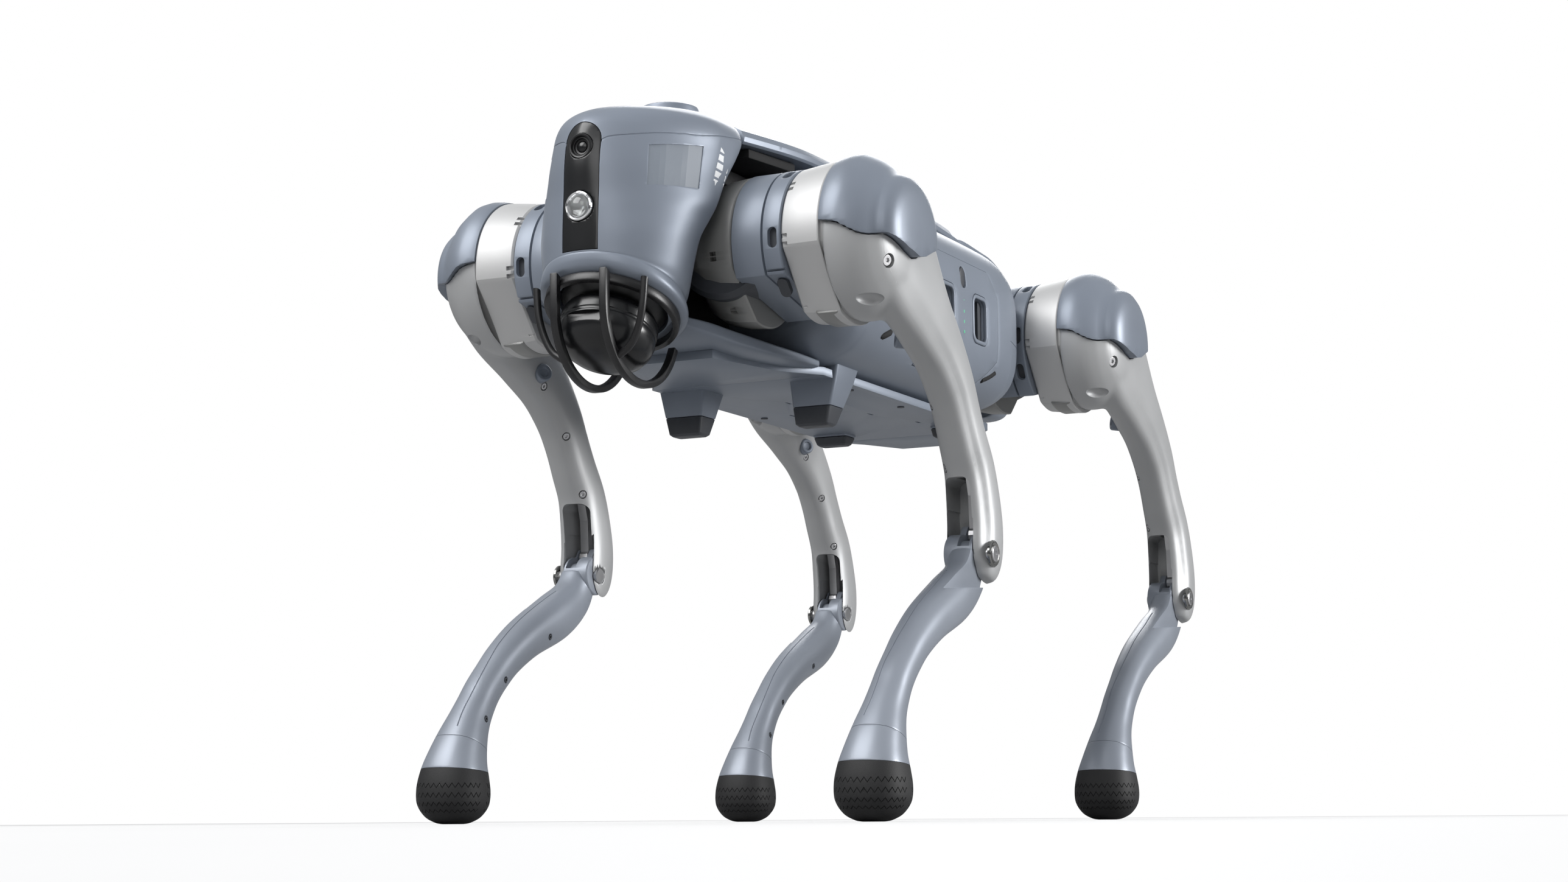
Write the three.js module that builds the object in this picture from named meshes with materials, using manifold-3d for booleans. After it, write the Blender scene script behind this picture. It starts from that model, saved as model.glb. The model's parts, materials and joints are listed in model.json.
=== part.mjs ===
// Quadruped robot, standing. Millimetres. +X forward, +Y the robot's left, +Z up.
// Everything is drawn with the hip axes at x = +-HIP_X and the ground at z = 0, then moved
// along X by CENTRE_X so that the origin is under the middle of the object.
import * as THREE from "three";
import { mergeVertices } from "three/addons/utils/BufferGeometryUtils.js";
import Module from "manifold-3d";

// ---- driving dimensions ----
const CENTRE_X = 9.37;
const HIP_X = 193.4;
const HIP_Y = 46.5;
const HIP_Z = 342.5;
const LEG_Y = 142;
const DRUM_R = 47;
const KNEE = [-116, -178.6];
const LEVER = 16;
const LEVER_DIRECTION = [-0.574, 0.819];
const GAP = 0.35;
const ROUND = 24;
const SMALL_ROUND = 12;
const END_STEPS = 4;
const LIMB_SIDES = 12;

const TRUNK_END = 143;
const TRUNK_SIDE = 96;
const BELLY_Z = 283;
const DECK_Z = 424;
const LID_UNDERSIDE = 412;
const BATTERY = { x0: -88, x1: 34, z0: 296, z1: 377, inner: -58, face: 97 };
const GRIPS = [-55, 1];
const GRIP_HALF = 11;
const LIDAR_X = 274;

const wasm = await Module();
wasm.setup();
const { Manifold } = wasm;

// ---- solids ----
function toSolid(geometry) {
  geometry.deleteAttribute("normal");
  geometry.deleteAttribute("uv");
  const joined = mergeVertices(geometry, 1e-3);
  const vertProperties = new Float32Array(joined.attributes.position.array);
  const triVerts = new Uint32Array(joined.index.array);
  let solid = new Manifold(new wasm.Mesh({ numProp: 3, vertProperties, triVerts }));
  if (solid.volume() < 0) {
    for (let corner = 0; corner < triVerts.length; corner += 3) {
      const kept = triVerts[corner + 1];
      triVerts[corner + 1] = triVerts[corner + 2];
      triVerts[corner + 2] = kept;
    }
    solid = new Manifold(new wasm.Mesh({ numProp: 3, vertProperties, triVerts }));
  }
  return solid;
}

function box(x0, x1, y0, y1, z0, z1) {
  const geometry = new THREE.BoxGeometry(x1 - x0, y1 - y0, z1 - z0);
  geometry.translate((x0 + x1) / 2, (y0 + y1) / 2, (z0 + z1) / 2);
  return toSolid(geometry);
}

// A round bar along one axis ("x", "y" or "z") from low to high, centred on the other two.
function bar(axis, radius, low, high, first, second, sides = SMALL_ROUND) {
  const geometry = new THREE.CylinderGeometry(radius, radius, high - low, sides);
  const middle = (low + high) / 2;
  if (axis === "x") {
    geometry.rotateZ(Math.PI / 2);
    geometry.translate(middle, first, second);
  } else if (axis === "y") {
    geometry.translate(first, middle, second);
  } else {
    geometry.rotateX(Math.PI / 2);
    geometry.translate(first, second, middle);
  }
  return toSolid(geometry);
}

// A turned solid about the Y axis; profile rows are [radius, y].
function turnedY(profile, sides = ROUND) {
  const points = profile.map(([radius, height]) => new THREE.Vector2(radius, height));
  return toSolid(new THREE.LatheGeometry(points, sides));
}

// A turned solid about a Z axis; profile rows are [radius, z].
function turnedZ(profile, x, y, sides = ROUND) {
  const points = profile.map(([radius, height]) => new THREE.Vector2(radius, height));
  const geometry = new THREE.LatheGeometry(points, sides);
  geometry.rotateX(Math.PI / 2);
  geometry.translate(x, y, 0);
  return toSolid(geometry);
}

// A plate whose outline rows are [x, z], between two y values.
function plateY(outline, y0, y1) {
  const shape = new THREE.Shape(outline.map(([x, z]) => new THREE.Vector2(x, z)));
  const geometry = new THREE.ExtrudeGeometry(shape, { depth: y1 - y0, bevelEnabled: false });
  geometry.rotateX(Math.PI / 2);
  geometry.translate(0, y1, 0);
  return toSolid(geometry);
}

// A plate whose outline rows are [x, y], between two z values.
function plateZ(outline, z0, z1) {
  const shape = new THREE.Shape(outline.map(([x, y]) => new THREE.Vector2(x, y)));
  const geometry = new THREE.ExtrudeGeometry(shape, { depth: z1 - z0, bevelEnabled: false });
  geometry.translate(0, 0, z0);
  return toSolid(geometry);
}

// A skin over closed rings of points, all with the same number of points.
function skin(rings) {
  const sides = rings[0].length;
  const geometry = new THREE.CylinderGeometry(1, 1, 1, sides, rings.length - 1);
  const position = geometry.attributes.position;
  const corner = new THREE.Vector3();
  for (let index = 0; index < position.count; index += 1) {
    corner.fromBufferAttribute(position, index);
    const ring = rings[Math.round((0.5 - corner.y) * (rings.length - 1))];
    const turn = Math.atan2(corner.x, corner.z) / (2 * Math.PI);
    const place = (Math.round(turn * sides) + sides) % sides;
    const point = new THREE.Vector3();
    if (Math.hypot(corner.x, corner.z) > 0.5) {
      point.copy(ring[place]);
    } else {
      ring.forEach((each) => point.addScaledVector(each, 1 / sides));
    }
    position.setXYZ(index, point.x, point.y, point.z);
  }
  return toSolid(geometry);
}

function rounded(value, power) {
  return Math.sign(value) * Math.abs(value) ** (2 / power);
}

// A limb in the leg's own plane: rows are [x, z, half depth, half thickness].
function limb(rows, rings, sides, power) {
  const middle = new THREE.SplineCurve(rows.map((row) => new THREE.Vector2(row[0], row[1])));
  const size = new THREE.SplineCurve(rows.map((row) => new THREE.Vector2(row[2], row[3])));
  const all = [];
  for (let ring = 0; ring <= rings; ring += 1) {
    const along = ring / rings;
    const centre = middle.getPoint(along);
    const half = size.getPoint(along);
    const run = middle.getTangent(along);
    const points = [];
    for (let side = 0; side < sides; side += 1) {
      const angle = (2 * Math.PI * side) / sides;
      const depth = half.x * rounded(Math.cos(angle), power);
      const thick = half.y * rounded(Math.sin(angle), power);
      points.push(new THREE.Vector3(centre.x - run.y * depth, thick, centre.y + run.x * depth));
    }
    all.push(points);
  }
  return skin(all);
}

function capsuleOutline(from, to, radius) {
  const outline = [];
  const heading = Math.atan2(to[1] - from[1], to[0] - from[0]);
  for (let step = 0; step <= END_STEPS; step += 1) {
    const angle = heading + Math.PI / 2 + (Math.PI * step) / END_STEPS;
    outline.push([from[0] + radius * Math.cos(angle), from[1] + radius * Math.sin(angle)]);
  }
  for (let step = 0; step <= END_STEPS; step += 1) {
    const angle = heading - Math.PI / 2 + (Math.PI * step) / END_STEPS;
    outline.push([to[0] + radius * Math.cos(angle), to[1] + radius * Math.sin(angle)]);
  }
  return outline;
}

// ---- the leg, drawn about its own thigh axis; y = 0 is the middle of the leg, +y outward ----
const LEVER_TIP = [KNEE[0] + LEVER * LEVER_DIRECTION[0], KNEE[1] + LEVER * LEVER_DIRECTION[1]];
const CRANK_TIP = [LEVER * LEVER_DIRECTION[0], LEVER * LEVER_DIRECTION[1]];
const DRUM_IN = -49;
const DRUM_OUT = -15.3;
const ROOT_IN = -15;

const THIGH_ROWS = [
  [-2, 0, 39, 12.5],
  [-22, -18, 35, 13.5],
  [-46, -38, 26, 14],
  [-68, -55, 20.5, 14],
  [-86, -74, 17.5, 13.8],
  [-97, -91, 16.5, 13.5],
  [-106, -107, 16.5, 14],
  [-116, -124, 17, 16],
  [-121, -141, 18, 17.5],
  [-124, -160, 19, 18],
  [-124, -177, 19.5, 18],
  [-121, -190, 16, 17],
  [-118, -197, 9, 15],
];

const SHIN_ROWS = [
  [-112, -182, 12, 12],
  [-103, -195, 15, 12.6],
  [-86, -211, 16.5, 14.5],
  [-57, -226, 14.5, 13.5],
  [-33, -240, 12, 12],
  [-15, -250, 10.5, 11],
  [-3, -259, 11, 11.3],
  [5, -270, 11.5, 12],
  [12, -280, 13.5, 13],
  [20, -291, 15.6, 15.4],
  [26, -302, 18.4, 17.8],
  [30, -312, 20.6, 20.4],
  [32, -322, 21.8, 21.8],
  [32, -331, 21, 21],
  [32, -338, 16.5, 16.5],
  [32, -342.5, 8, 8],
];

// The rounded outside of the hip end, shared by the cap and the thigh: two lobes with a valley.
const HIP_DOME = [[50.2, -23], [51.6, -14], [48.8, -5], [41.5, 4], [36.6, 10], [34.6, 15], [25, 19.4], [10, 21]];

function hipDome(shrink) {
  const profile = HIP_DOME.map(([radius, y]) => [radius - shrink, y > 15 ? y - shrink : y]);
  return turnedY([[0, -23], ...profile, [0, 21 - shrink]], ROUND);
}

// Everything above the S-shaped edge of the cap.
function aboveCapEdge(lift) {
  const edge = [
    [-80, 6], [-46, 0], [-34, -8], [-22, -12], [-8, -13], [10, -10], [26, -6], [46, -4], [80, 4],
  ].map(([x, z]) => [x, z + lift]);
  return plateY([...edge, [80, 80], [-80, 80]], -30, 30);
}

function crankRoom() {
  return bar("y", 24, -8, 4.6, 0, 0, 20);
}

function rodChannel() {
  const outline = [
    [-14, 10], [-40, -9], [-60, -28], [-86, -48], [-103, -72], [-114, -100], [-126, -122], [-134, -142],
    [-136, -178], [-104, -180], [-108, -142], [-103, -124], [-97, -106], [-87, -88], [-72, -68],
    [-48, -50], [-22, -30], [-8, -16],
  ];
  return plateY(outline, -4.6, 4.6);
}

function kneeSlot() {
  const outline = [
    [-131, -128], [-104, -122], [-70, -122], [-70, -215], [-150, -215], [-150, -176], [-134, -170],
  ];
  return plateY(outline, -13.6, 13.6);
}

function thighShell() {
  const profile = [[0, ROOT_IN], [43, ROOT_IN], [43, -4], [36, 2], [32.5, 6], [32.5, 10], [0, 10]];
  const root = turnedY(profile, ROUND);
  const outside = hipDome(1.6).subtract(aboveCapEdge(-GAP))
    .subtract(turnedY([[0, -30], [DRUM_R + 0.4, -30], [DRUM_R + 0.4, ROOT_IN], [0, ROOT_IN]], ROUND));
  const arm = limb(THIGH_ROWS, 15, LIMB_SIDES, 2.6);
  return root.add(outside).add(arm)
    .subtract(crankRoom())
    .subtract(rodChannel())
    .subtract(kneeSlot())
    .subtract(bar("y", LEVER + 6.8, -8.5, 8.5, KNEE[0], KNEE[1], ROUND))
    .subtract(bar("y", 8.4, -20, 0, 0, 0))
    .subtract(bar("y", 5.3, -30, 30, KNEE[0], KNEE[1]))
    .subtract(bar("y", 9.2, 17, 30, KNEE[0], KNEE[1]));
}

function hipCap() {
  const inside = turnedY([[0, -30], [DRUM_R + 0.4, -30], [DRUM_R + 0.4, ROOT_IN], [43.4, ROOT_IN],
    [43.4, -3.8], [36.4, 2.3], [32.9, 6.2], [32.9, 10.4], [0, 10.4]], ROUND);
  const arm = limb(THIGH_ROWS.slice(0, 5).map(([x, z, depth, thick]) => [x, z, depth + 0.5, thick + 0.5]),
    6, LIMB_SIDES, 2.6);
  return hipDome(0).intersect(aboveCapEdge(0)).subtract(inside).subtract(arm);
}

function thighMotorDrum() {
  return turnedY([
    [0, DRUM_IN], [44, DRUM_IN], [46.4, DRUM_IN + 2], [46.8, -30], [46.8, DRUM_OUT - 1.5],
    [45, DRUM_OUT], [0, DRUM_OUT],
  ], ROUND);
}

function kneeCrank() {
  const web = plateY(capsuleOutline([0, 0], CRANK_TIP, 5.5), -7.6, -3.6);
  return web.add(bar("y", 8, ROOT_IN + 0.1, -3.6, 0, 0))
    .add(bar("y", 2.4, -4, 4, CRANK_TIP[0], CRANK_TIP[1]));
}

function kneeRod() {
  const path = [CRANK_TIP, [-34, -12], [-57, -38], [-83, -57], [-99, -86], [-107, -105], [-118, -123],
    [-123.5, -140], LEVER_TIP];
  let rod = bar("y", 5.4, -3, 3, CRANK_TIP[0], CRANK_TIP[1]);
  rod = rod.add(bar("y", 5.4, -3, 3, LEVER_TIP[0], LEVER_TIP[1]));
  for (let leg = 0; leg + 1 < path.length; leg += 1) {
    rod = rod.add(plateY(capsuleOutline(path[leg], path[leg + 1], 2.8), -3, 3));
  }
  return rod.subtract(bar("y", 2.9, -9, 9, CRANK_TIP[0], CRANK_TIP[1]))
    .subtract(bar("y", 3, -9, 9, LEVER_TIP[0], LEVER_TIP[1]));
}

function kneePin() {
  return bar("y", 5, -17, 18, KNEE[0], KNEE[1]).add(bar("y", 8.8, 17.4, 19.6, KNEE[0], KNEE[1]));
}

// Room for the rod beside the knee, on the lever's side of the hub.
function leverSlot() {
  const [ux, uz] = LEVER_DIRECTION;
  const corner = (along, across) => [
    KNEE[0] + ux * along - uz * across,
    KNEE[1] + uz * along + ux * across,
  ];
  const side = plateY([corner(-3, -30), corner(-3, 30), corner(40, 30), corner(40, -30)], -3.9, 3.9);
  return side.subtract(bar("y", 9, -6, 6, KNEE[0], KNEE[1], ROUND));
}

function shin() {
  return limb(SHIN_ROWS, 22, LIMB_SIDES, 2.3);
}

const ANKLE_NORMAL = [0.4, 0, -0.9165];
const ANKLE_OFFSET = 0.4 * 21 + 0.9165 * 296;
const FOOT_NORMAL = [0.1, 0, -0.995];
const FOOT_OFFSET = 0.1 * 29 + 0.995 * 310.5;

function flipped(normal) {
  return normal.map((each) => -each);
}

function calf() {
  const upper = shin().trimByPlane(flipped(ANKLE_NORMAL), -ANKLE_OFFSET + GAP);
  const hub = bar("y", 13, -13, 13, KNEE[0], KNEE[1], ROUND);
  const lever = plateY(capsuleOutline(KNEE, LEVER_TIP, 6), -8, 8);
  return upper.add(hub).add(lever)
    .subtract(leverSlot())
    .add(bar("y", 2.4, -6, 6, LEVER_TIP[0], LEVER_TIP[1]))
    .subtract(bar("y", 5.4, -30, 30, KNEE[0], KNEE[1]));
}

function ankleSocket() {
  return shin().trimByPlane(ANKLE_NORMAL, ANKLE_OFFSET).trimByPlane(flipped(FOOT_NORMAL), -FOOT_OFFSET + GAP);
}

function foot() {
  return shin().trimByPlane(FOOT_NORMAL, FOOT_OFFSET);
}

// The hip housing turns about the X axis through HIP_Y; drawn for the front left leg.
function hipHousing() {
  const inner = -LEG_Y + 22;
  const body = turnedY([
    [0, inner], [28, inner], [37, inner + 4], [43, inner + 13], [46.6, inner + 27], [46.6, inner + 56],
    [45.4, inner + 57], [45.4, inner + 59], [46.9, inner + 60], [46.9, DRUM_IN - 1], [45, DRUM_IN - GAP],
    [0, DRUM_IN - GAP],
  ], ROUND);
  const motorEnd = bar("x", 33, -DRUM_R, 34, HIP_Y - LEG_Y, 0, ROUND);
  return body.add(motorEnd);
}

// ---- head ----
// Rows are [z, front x, widest x, rear x, half width, squareness of the rear and of the front, tilt].
const HEAD_ROWS = [
  [298.5, 311, 274, 237, 41, 2, 2, 0.42],
  [300.5, 314, 274, 234, 43.8, 2, 2, 0.42],
  [303.5, 315, 274, 233, 44.5, 2, 2, 0.42],
  [308, 315, 274, 234, 43.4, 2, 2, 0.41],
  [311, 314.6, 274, 237, 42.6, 2.2, 1.95, 0.38],
  [320, 315, 269, 252, 45.5, 4, 1.9, 0.16],
  [338, 315, 262, 257, 49.3, 6, 1.9, 0],
  [352, 315, 256, 247, 51.6, 6, 1.8, 0],
  [363, 315, 250, 242, 53.8, 8, 1.7, 0],
  [380, 315, 247, 227, 52.8, 8, 1.65, 0],
  [395, 313, 242, 213, 52.8, 8, 1.6, 0],
  [406, 309, 238, 203, 52.8, 7, 1.6, 0],
  [414, 299, 234, 194, 50.2, 5, 1.7, 0],
  [419.3, 284, 224, 189, 45.8, 4, 1.8, 0],
  [424, 262, 216, 184, 38, 3, 2, 0],
  [426.8, 242, 208, 178, 27, 2.4, 2, 0],
];
const HEAD_SIDES = 28;
const RIM_TILT = 0.42;
const RIM_Z = 302;

function headSolid() {
  const rings = HEAD_ROWS.map(([z, front, widest, rear, half, rearPower, frontPower, tilt]) => {
    const points = [];
    for (let side = 0; side < HEAD_SIDES; side += 1) {
      const angle = (2 * Math.PI * side) / HEAD_SIDES;
      const ahead = Math.cos(angle);
      const reach = ahead > 0 ? front - widest : widest - rear;
      const power = ahead > 0 ? frontPower : rearPower;
      const x = widest + reach * rounded(ahead, power);
      const y = half * rounded(Math.sin(angle), power);
      points.push(new THREE.Vector3(x, y, z + tilt * (x - LIDAR_X)));
    }
    return points;
  });
  return skin(rings);
}

function faceOutline(half, z0, z1) {
  const outline = [[-half, z0], [half, z0]];
  for (let step = 0; step <= 10; step += 1) {
    const angle = (Math.PI * step) / 10;
    outline.push([half * Math.cos(angle), z1 - half + half * Math.sin(angle)]);
  }
  return outline;
}

function faceSlab(half, z0, z1, x0) {
  const slab = plateY(faceOutline(half, z0, z1), 0, 30);
  return slab.rotate([0, 0, -90]).translate([x0, 0, 0]);
}

const LENS_Z = 389;
const LAMP_Z = 353;

function headShell() {
  return headSolid()
    .subtract(faceSlab(12, 326.6, 404.4, 305))
    .subtract(lidSolid(0.6))
    .subtract(box(180, 262, -40, 40, 372, 405))
    .subtract(leanedWithRim(bar("z", 32, 274, 313, LIDAR_X, 0, ROUND)));
}

function facePanel() {
  return headSolid().intersect(faceSlab(11.7, 327, 404, 305.4))
    .subtract(bar("x", 7.9, 309, 330, 0, LENS_Z, 20))
    .subtract(bar("x", 9.4, 308, 330, 0, LAMP_Z, 20));
}

function turnedX(profile, z, sides) {
  return turnedY(profile, sides).rotate([0, 0, -90]).translate([0, 0, z]);
}

function cameraLens() {
  return turnedX([[0, 309.3], [7.5, 309.3], [7.5, 313.6], [5.6, 313.6], [4.4, 311.6], [0, 312.6]], LENS_Z, 20);
}

function headlamp() {
  return turnedX([[0, 308.3], [9, 308.3], [9, 314.6], [7.6, 315.4], [5.4, 317], [2.6, 318.2], [0, 318.5]],
    LAMP_Z, 20);
}

function topPuck() {
  return turnedZ([[0, 427.3], [22, 427.3], [18.7, 430], [18.7, 435.4], [17, 437], [0, 437]], 208, 0, 32);
}

// The sensor and its basket lean with the rim of the head.
function leanedWithRim(solid) {
  const lean = (Math.atan(RIM_TILT) * 180) / Math.PI;
  return solid.translate([-LIDAR_X, 0, -RIM_Z]).rotate([0, -lean, 0]).translate([LIDAR_X, 0, RIM_Z]);
}

function lidarBase() {
  const base = turnedZ([[0, 294], [24, 294], [31.5, 300], [31.5, 312.6], [0, 312.6]], LIDAR_X, 0, ROUND);
  return leanedWithRim(base);
}

function lidarRotor() {
  const drum = [[0, 263], [16, 264.5], [26, 270], [29, 277], [29, 290], [26, 293.6], [0, 293.6]];
  return leanedWithRim(turnedZ(drum, LIDAR_X, 0, ROUND));
}

// A basket of bars: a ring under the rim, two hoops that run from front to rear, and four braces.
const HOOP_Y = 17.5;
const HOOP_CENTRE = [271.5, 295.5];
const HOOP_R = 44;
const BRACE = [[301.5, 36, 309], [300.5, 33.5, 286], [299, 27, 273], [300, 17.5, 264]];

function strut(from, to, half) {
  const ends = [from, to].map(([x, y, z]) => box(x - half, x + half, y - half, y + half, z - half, z + half));
  return Manifold.hull(ends);
}

function hoop(y) {
  const inner = HOOP_R - 4.5;
  const profile = [[inner, y - 2.5], [HOOP_R, y - 2.5], [HOOP_R, y + 2.5], [inner, y + 2.5], [inner, y - 2.5]];
  const front = box(HOOP_CENTRE[0] + inner, HOOP_CENTRE[0] + HOOP_R, y - 2.5, y + 2.5, HOOP_CENTRE[1], 330);
  return turnedY(profile, 32).translate([HOOP_CENTRE[0], 0, HOOP_CENTRE[1]]).add(front);
}

function lidarGuard() {
  let guard = leanedWithRim(turnedZ([
    [36.5, 293], [40.4, 293], [40.4, 298.6], [36.5, 298.6], [36.5, 293],
  ], LIDAR_X, 0, ROUND));
  for (const side of [-1, 1]) {
    guard = guard.add(hoop(side * HOOP_Y));
    const path = BRACE.map(([x, y, z]) => [x, side * y, z]);
    for (let leg = 0; leg + 1 < path.length; leg += 1) {
      guard = guard.add(strut(path[leg], path[leg + 1], 2));
    }
  }
  const below = leanedWithRim(box(180, 380, -60, 60, 200, 298.3));
  return guard.intersect(below);
}

// ---- trunk ----
function trunkRing(x, side, top, foot0) {
  const half = [
    [0, top], [side * 0.5, top - 1], [side * 0.7, top - 8], [side * 0.86, top - 22], [side * 0.97, top - 36],
    [side, top - 50], [side, foot0 + 28], [side * 0.97, foot0 + 14], [side * 0.86, foot0 + 3],
    [side * 0.66, foot0], [0, foot0],
  ];
  const ring = half.map(([y, z]) => new THREE.Vector3(x, y, z));
  for (let index = half.length - 2; index > 0; index -= 1) {
    ring.push(new THREE.Vector3(x, -half[index][0], half[index][1]));
  }
  return ring;
}

function batteryBay(gap) {
  const bay = BATTERY;
  return box(bay.x0 - gap, bay.x1 + gap, bay.inner - gap, 120, bay.z0 - gap, bay.z1 + gap);
}

function trunkShell() {
  const top = LID_UNDERSIDE - GAP;
  const trunk = skin([
    trunkRing(-TRUNK_END, TRUNK_SIDE - 8, top - 5, BELLY_Z + 6),
    trunkRing(-TRUNK_END + 10, TRUNK_SIDE, top, BELLY_Z),
    trunkRing(TRUNK_END - 10, TRUNK_SIDE, top, BELLY_Z),
    trunkRing(TRUNK_END, TRUNK_SIDE - 8, top - 5, BELLY_Z + 6),
  ]);
  const neck = box(TRUNK_END - 5, 258, -22, 22, 394, 404.4);
  const tailNeck = box(-236, -TRUNK_END + 5, -22, 22, 394, 401);
  return trunk.add(neck).add(tailNeck).subtract(batteryBay(0.5));
}

function lidRing(x, half, z, gap) {
  const outline = [
    [0, z + gap], [half * 0.62, z + gap], [half * 0.93 + gap, z - 4.5 + gap], [half + gap, z - 8],
    [half + gap, LID_UNDERSIDE - gap], [0, LID_UNDERSIDE - gap],
  ];
  const ring = outline.map(([y, height]) => new THREE.Vector3(x, y, height));
  for (let index = outline.length - 2; index > 0; index -= 1) {
    ring.push(new THREE.Vector3(x, -outline[index][0], outline[index][1]));
  }
  return ring;
}

function lidSolid(gap) {
  return skin([
    lidRing(-138, 46, DECK_Z - 3, gap),
    lidRing(-128, 49, DECK_Z, gap),
    lidRing(-60, 55, DECK_Z, gap),
    lidRing(120, 60, DECK_Z, gap),
    lidRing(150, 57, DECK_Z, gap),
    lidRing(196 + gap, 46, DECK_Z, gap),
  ]);
}

function tailRing(x, half, top, low) {
  const outline = [[0, top], [half * 0.7, top - 2], [half, top - 9], [half, low], [0, low]];
  const ring = outline.map(([y, height]) => new THREE.Vector3(x, y, height));
  for (let index = outline.length - 2; index > 0; index -= 1) {
    ring.push(new THREE.Vector3(x, -outline[index][0], outline[index][1]));
  }
  return ring;
}

function tailCover() {
  const roof = skin([
    tailRing(-138.4, 46, 420, 413),
    tailRing(-150, 47, 422, 412),
    tailRing(-205, 46, 419, 406),
    tailRing(-240, 42, 414, 402),
    tailRing(-262, 38, 409, 380),
    tailRing(-270, 34, 402, 384),
  ]);
  const back = skin([
    tailRing(-243, 36, 405, 302),
    tailRing(-262, 36, 405, 302),
    tailRing(-270, 31, 398, 308),
  ]);
  return roof.add(back).subtract(box(-237, -120, -23, 23, 380, 401.5));
}

function bellyPan() {
  const half = [[-206, 30], [-172, 46], [-150, 62], [120, 62], [146, 40], [208, 30]];
  const mirrored = half.slice().reverse().map(([x, y]) => [x, -y]);
  return plateZ([...mirrored, ...half], 278, BELLY_Z - GAP);
}

// Rows of a landing pad: height, rear and front x, inner and outer distance from the middle plane.
const FRONT_PAD = [
  [277.6, 79, 107, 31, 64], [261, 86, 107, 33, 60], [250, 91, 106.5, 34.5, 57.5], [249, 93, 104.5, 36, 56],
];
const REAR_PAD = [[277.6, -130, -112, 33, 60], [271, -126, -113, 34.5, 57.5], [270, -124.5, -114.5, 36, 56]];

function landingPad(rows, side) {
  const cut = 2.5;
  const rings = rows.map(([z, x0, x1, inner, outer]) => {
    const [y0, y1] = side > 0 ? [inner, outer] : [-outer, -inner];
    const outline = [
      [x1, y1 - cut], [x1 - cut, y1], [x0 + cut, y1], [x0, y1 - cut],
      [x0, y0 + cut], [x0 + cut, y0], [x1 - cut, y0], [x1, y0 + cut],
    ];
    return outline.map(([x, y]) => new THREE.Vector3(x, y, z));
  });
  return skin(rings);
}

// ---- battery ----
function batteryPack() {
  const pack = BATTERY;
  let solid = box(pack.x0, pack.x1, pack.inner, pack.face, pack.z0, pack.z1);
  for (const x of GRIPS) {
    solid = solid.subtract(box(x - GRIP_HALF, x + GRIP_HALF, pack.face - 20, pack.face + 5, 325, 354));
  }
  return solid.subtract(buttonRoom(0.4, 6));
}

function buttonRoom(gap, depth) {
  const middle = (GRIPS[0] + GRIPS[1]) / 2;
  const outline = capsuleOutline([middle, 361.5], [middle, 367.5], 4 + gap);
  return plateY(outline, BATTERY.face - depth, BATTERY.face + 1.2 - gap);
}

function powerButton() {
  return buttonRoom(0, 4);
}

function batteryLatch(x, inward) {
  const edge = x + inward * (GRIP_HALF - 0.5);
  const near = x + inward * 4.5;
  return box(Math.min(edge, near), Math.max(edge, near), BATTERY.face - 19.5, BATTERY.face - 4, 326, 353);
}

// ---- materials ----
function paint(colour, roughness, metalness) {
  return new THREE.MeshStandardMaterial({ color: colour, roughness, metalness });
}

const BLUE_GREY = () => paint(0x7d8899, 0.45, 0.2);
const SILVER = () => paint(0xb9bbbd, 0.38, 0.75);
const PALE = () => paint(0xa9b2c0, 0.45, 0.3);
const BLACK_PLASTIC = () => paint(0x17181b, 0.5, 0);
const GLOSS_BLACK = () => paint(0x08090b, 0.12, 0);
const RUBBER = () => paint(0x1d1e20, 0.85, 0);
const STEEL = () => paint(0x8f9296, 0.35, 0.9);
const CLEAR = () => paint(0xdfe6ea, 0.08, 0.1);
const DARK_GREY = () => paint(0x474e59, 0.55, 0.1);

// ---- assembly ----
const group = new THREE.Group();

function add(name, solid, material) {
  const moved = solid.translate([CENTRE_X, 0, 0]);
  const data = moved.getMesh();
  const geometry = new THREE.BufferGeometry();
  geometry.setAttribute("position", new THREE.BufferAttribute(new Float32Array(data.vertProperties), 3));
  geometry.setIndex(new THREE.BufferAttribute(new Uint32Array(data.triVerts), 1));
  geometry.computeVertexNormals();
  const mesh = new THREE.Mesh(geometry, material);
  mesh.name = name;
  group.add(mesh);
}

const LEG_PARTS = [
  ["thigh_motor_drum", thighMotorDrum(), SILVER],
  ["thigh_shell", thighShell(), SILVER],
  ["hip_cap", hipCap(), BLUE_GREY],
  ["knee_crank", kneeCrank(), STEEL],
  ["knee_rod", kneeRod(), STEEL],
  ["knee_pin", kneePin(), STEEL],
  ["calf", calf(), PALE],
  ["ankle_socket", ankleSocket(), PALE],
  ["foot", foot(), RUBBER],
];

function addLeg(tag, end, side) {
  const place = (solid) => {
    const handed = side > 0 ? solid : solid.mirror([0, 1, 0]);
    return handed.translate([end * HIP_X, side * LEG_Y, HIP_Z]);
  };
  const housing = end > 0 ? hipHousing() : hipHousing().mirror([1, 0, 0]);
  add(`hip_housing_${tag}`, place(housing), BLUE_GREY());
  for (const [name, solid, material] of LEG_PARTS) {
    add(`${name}_${tag}`, place(solid), material());
  }
}

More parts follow.
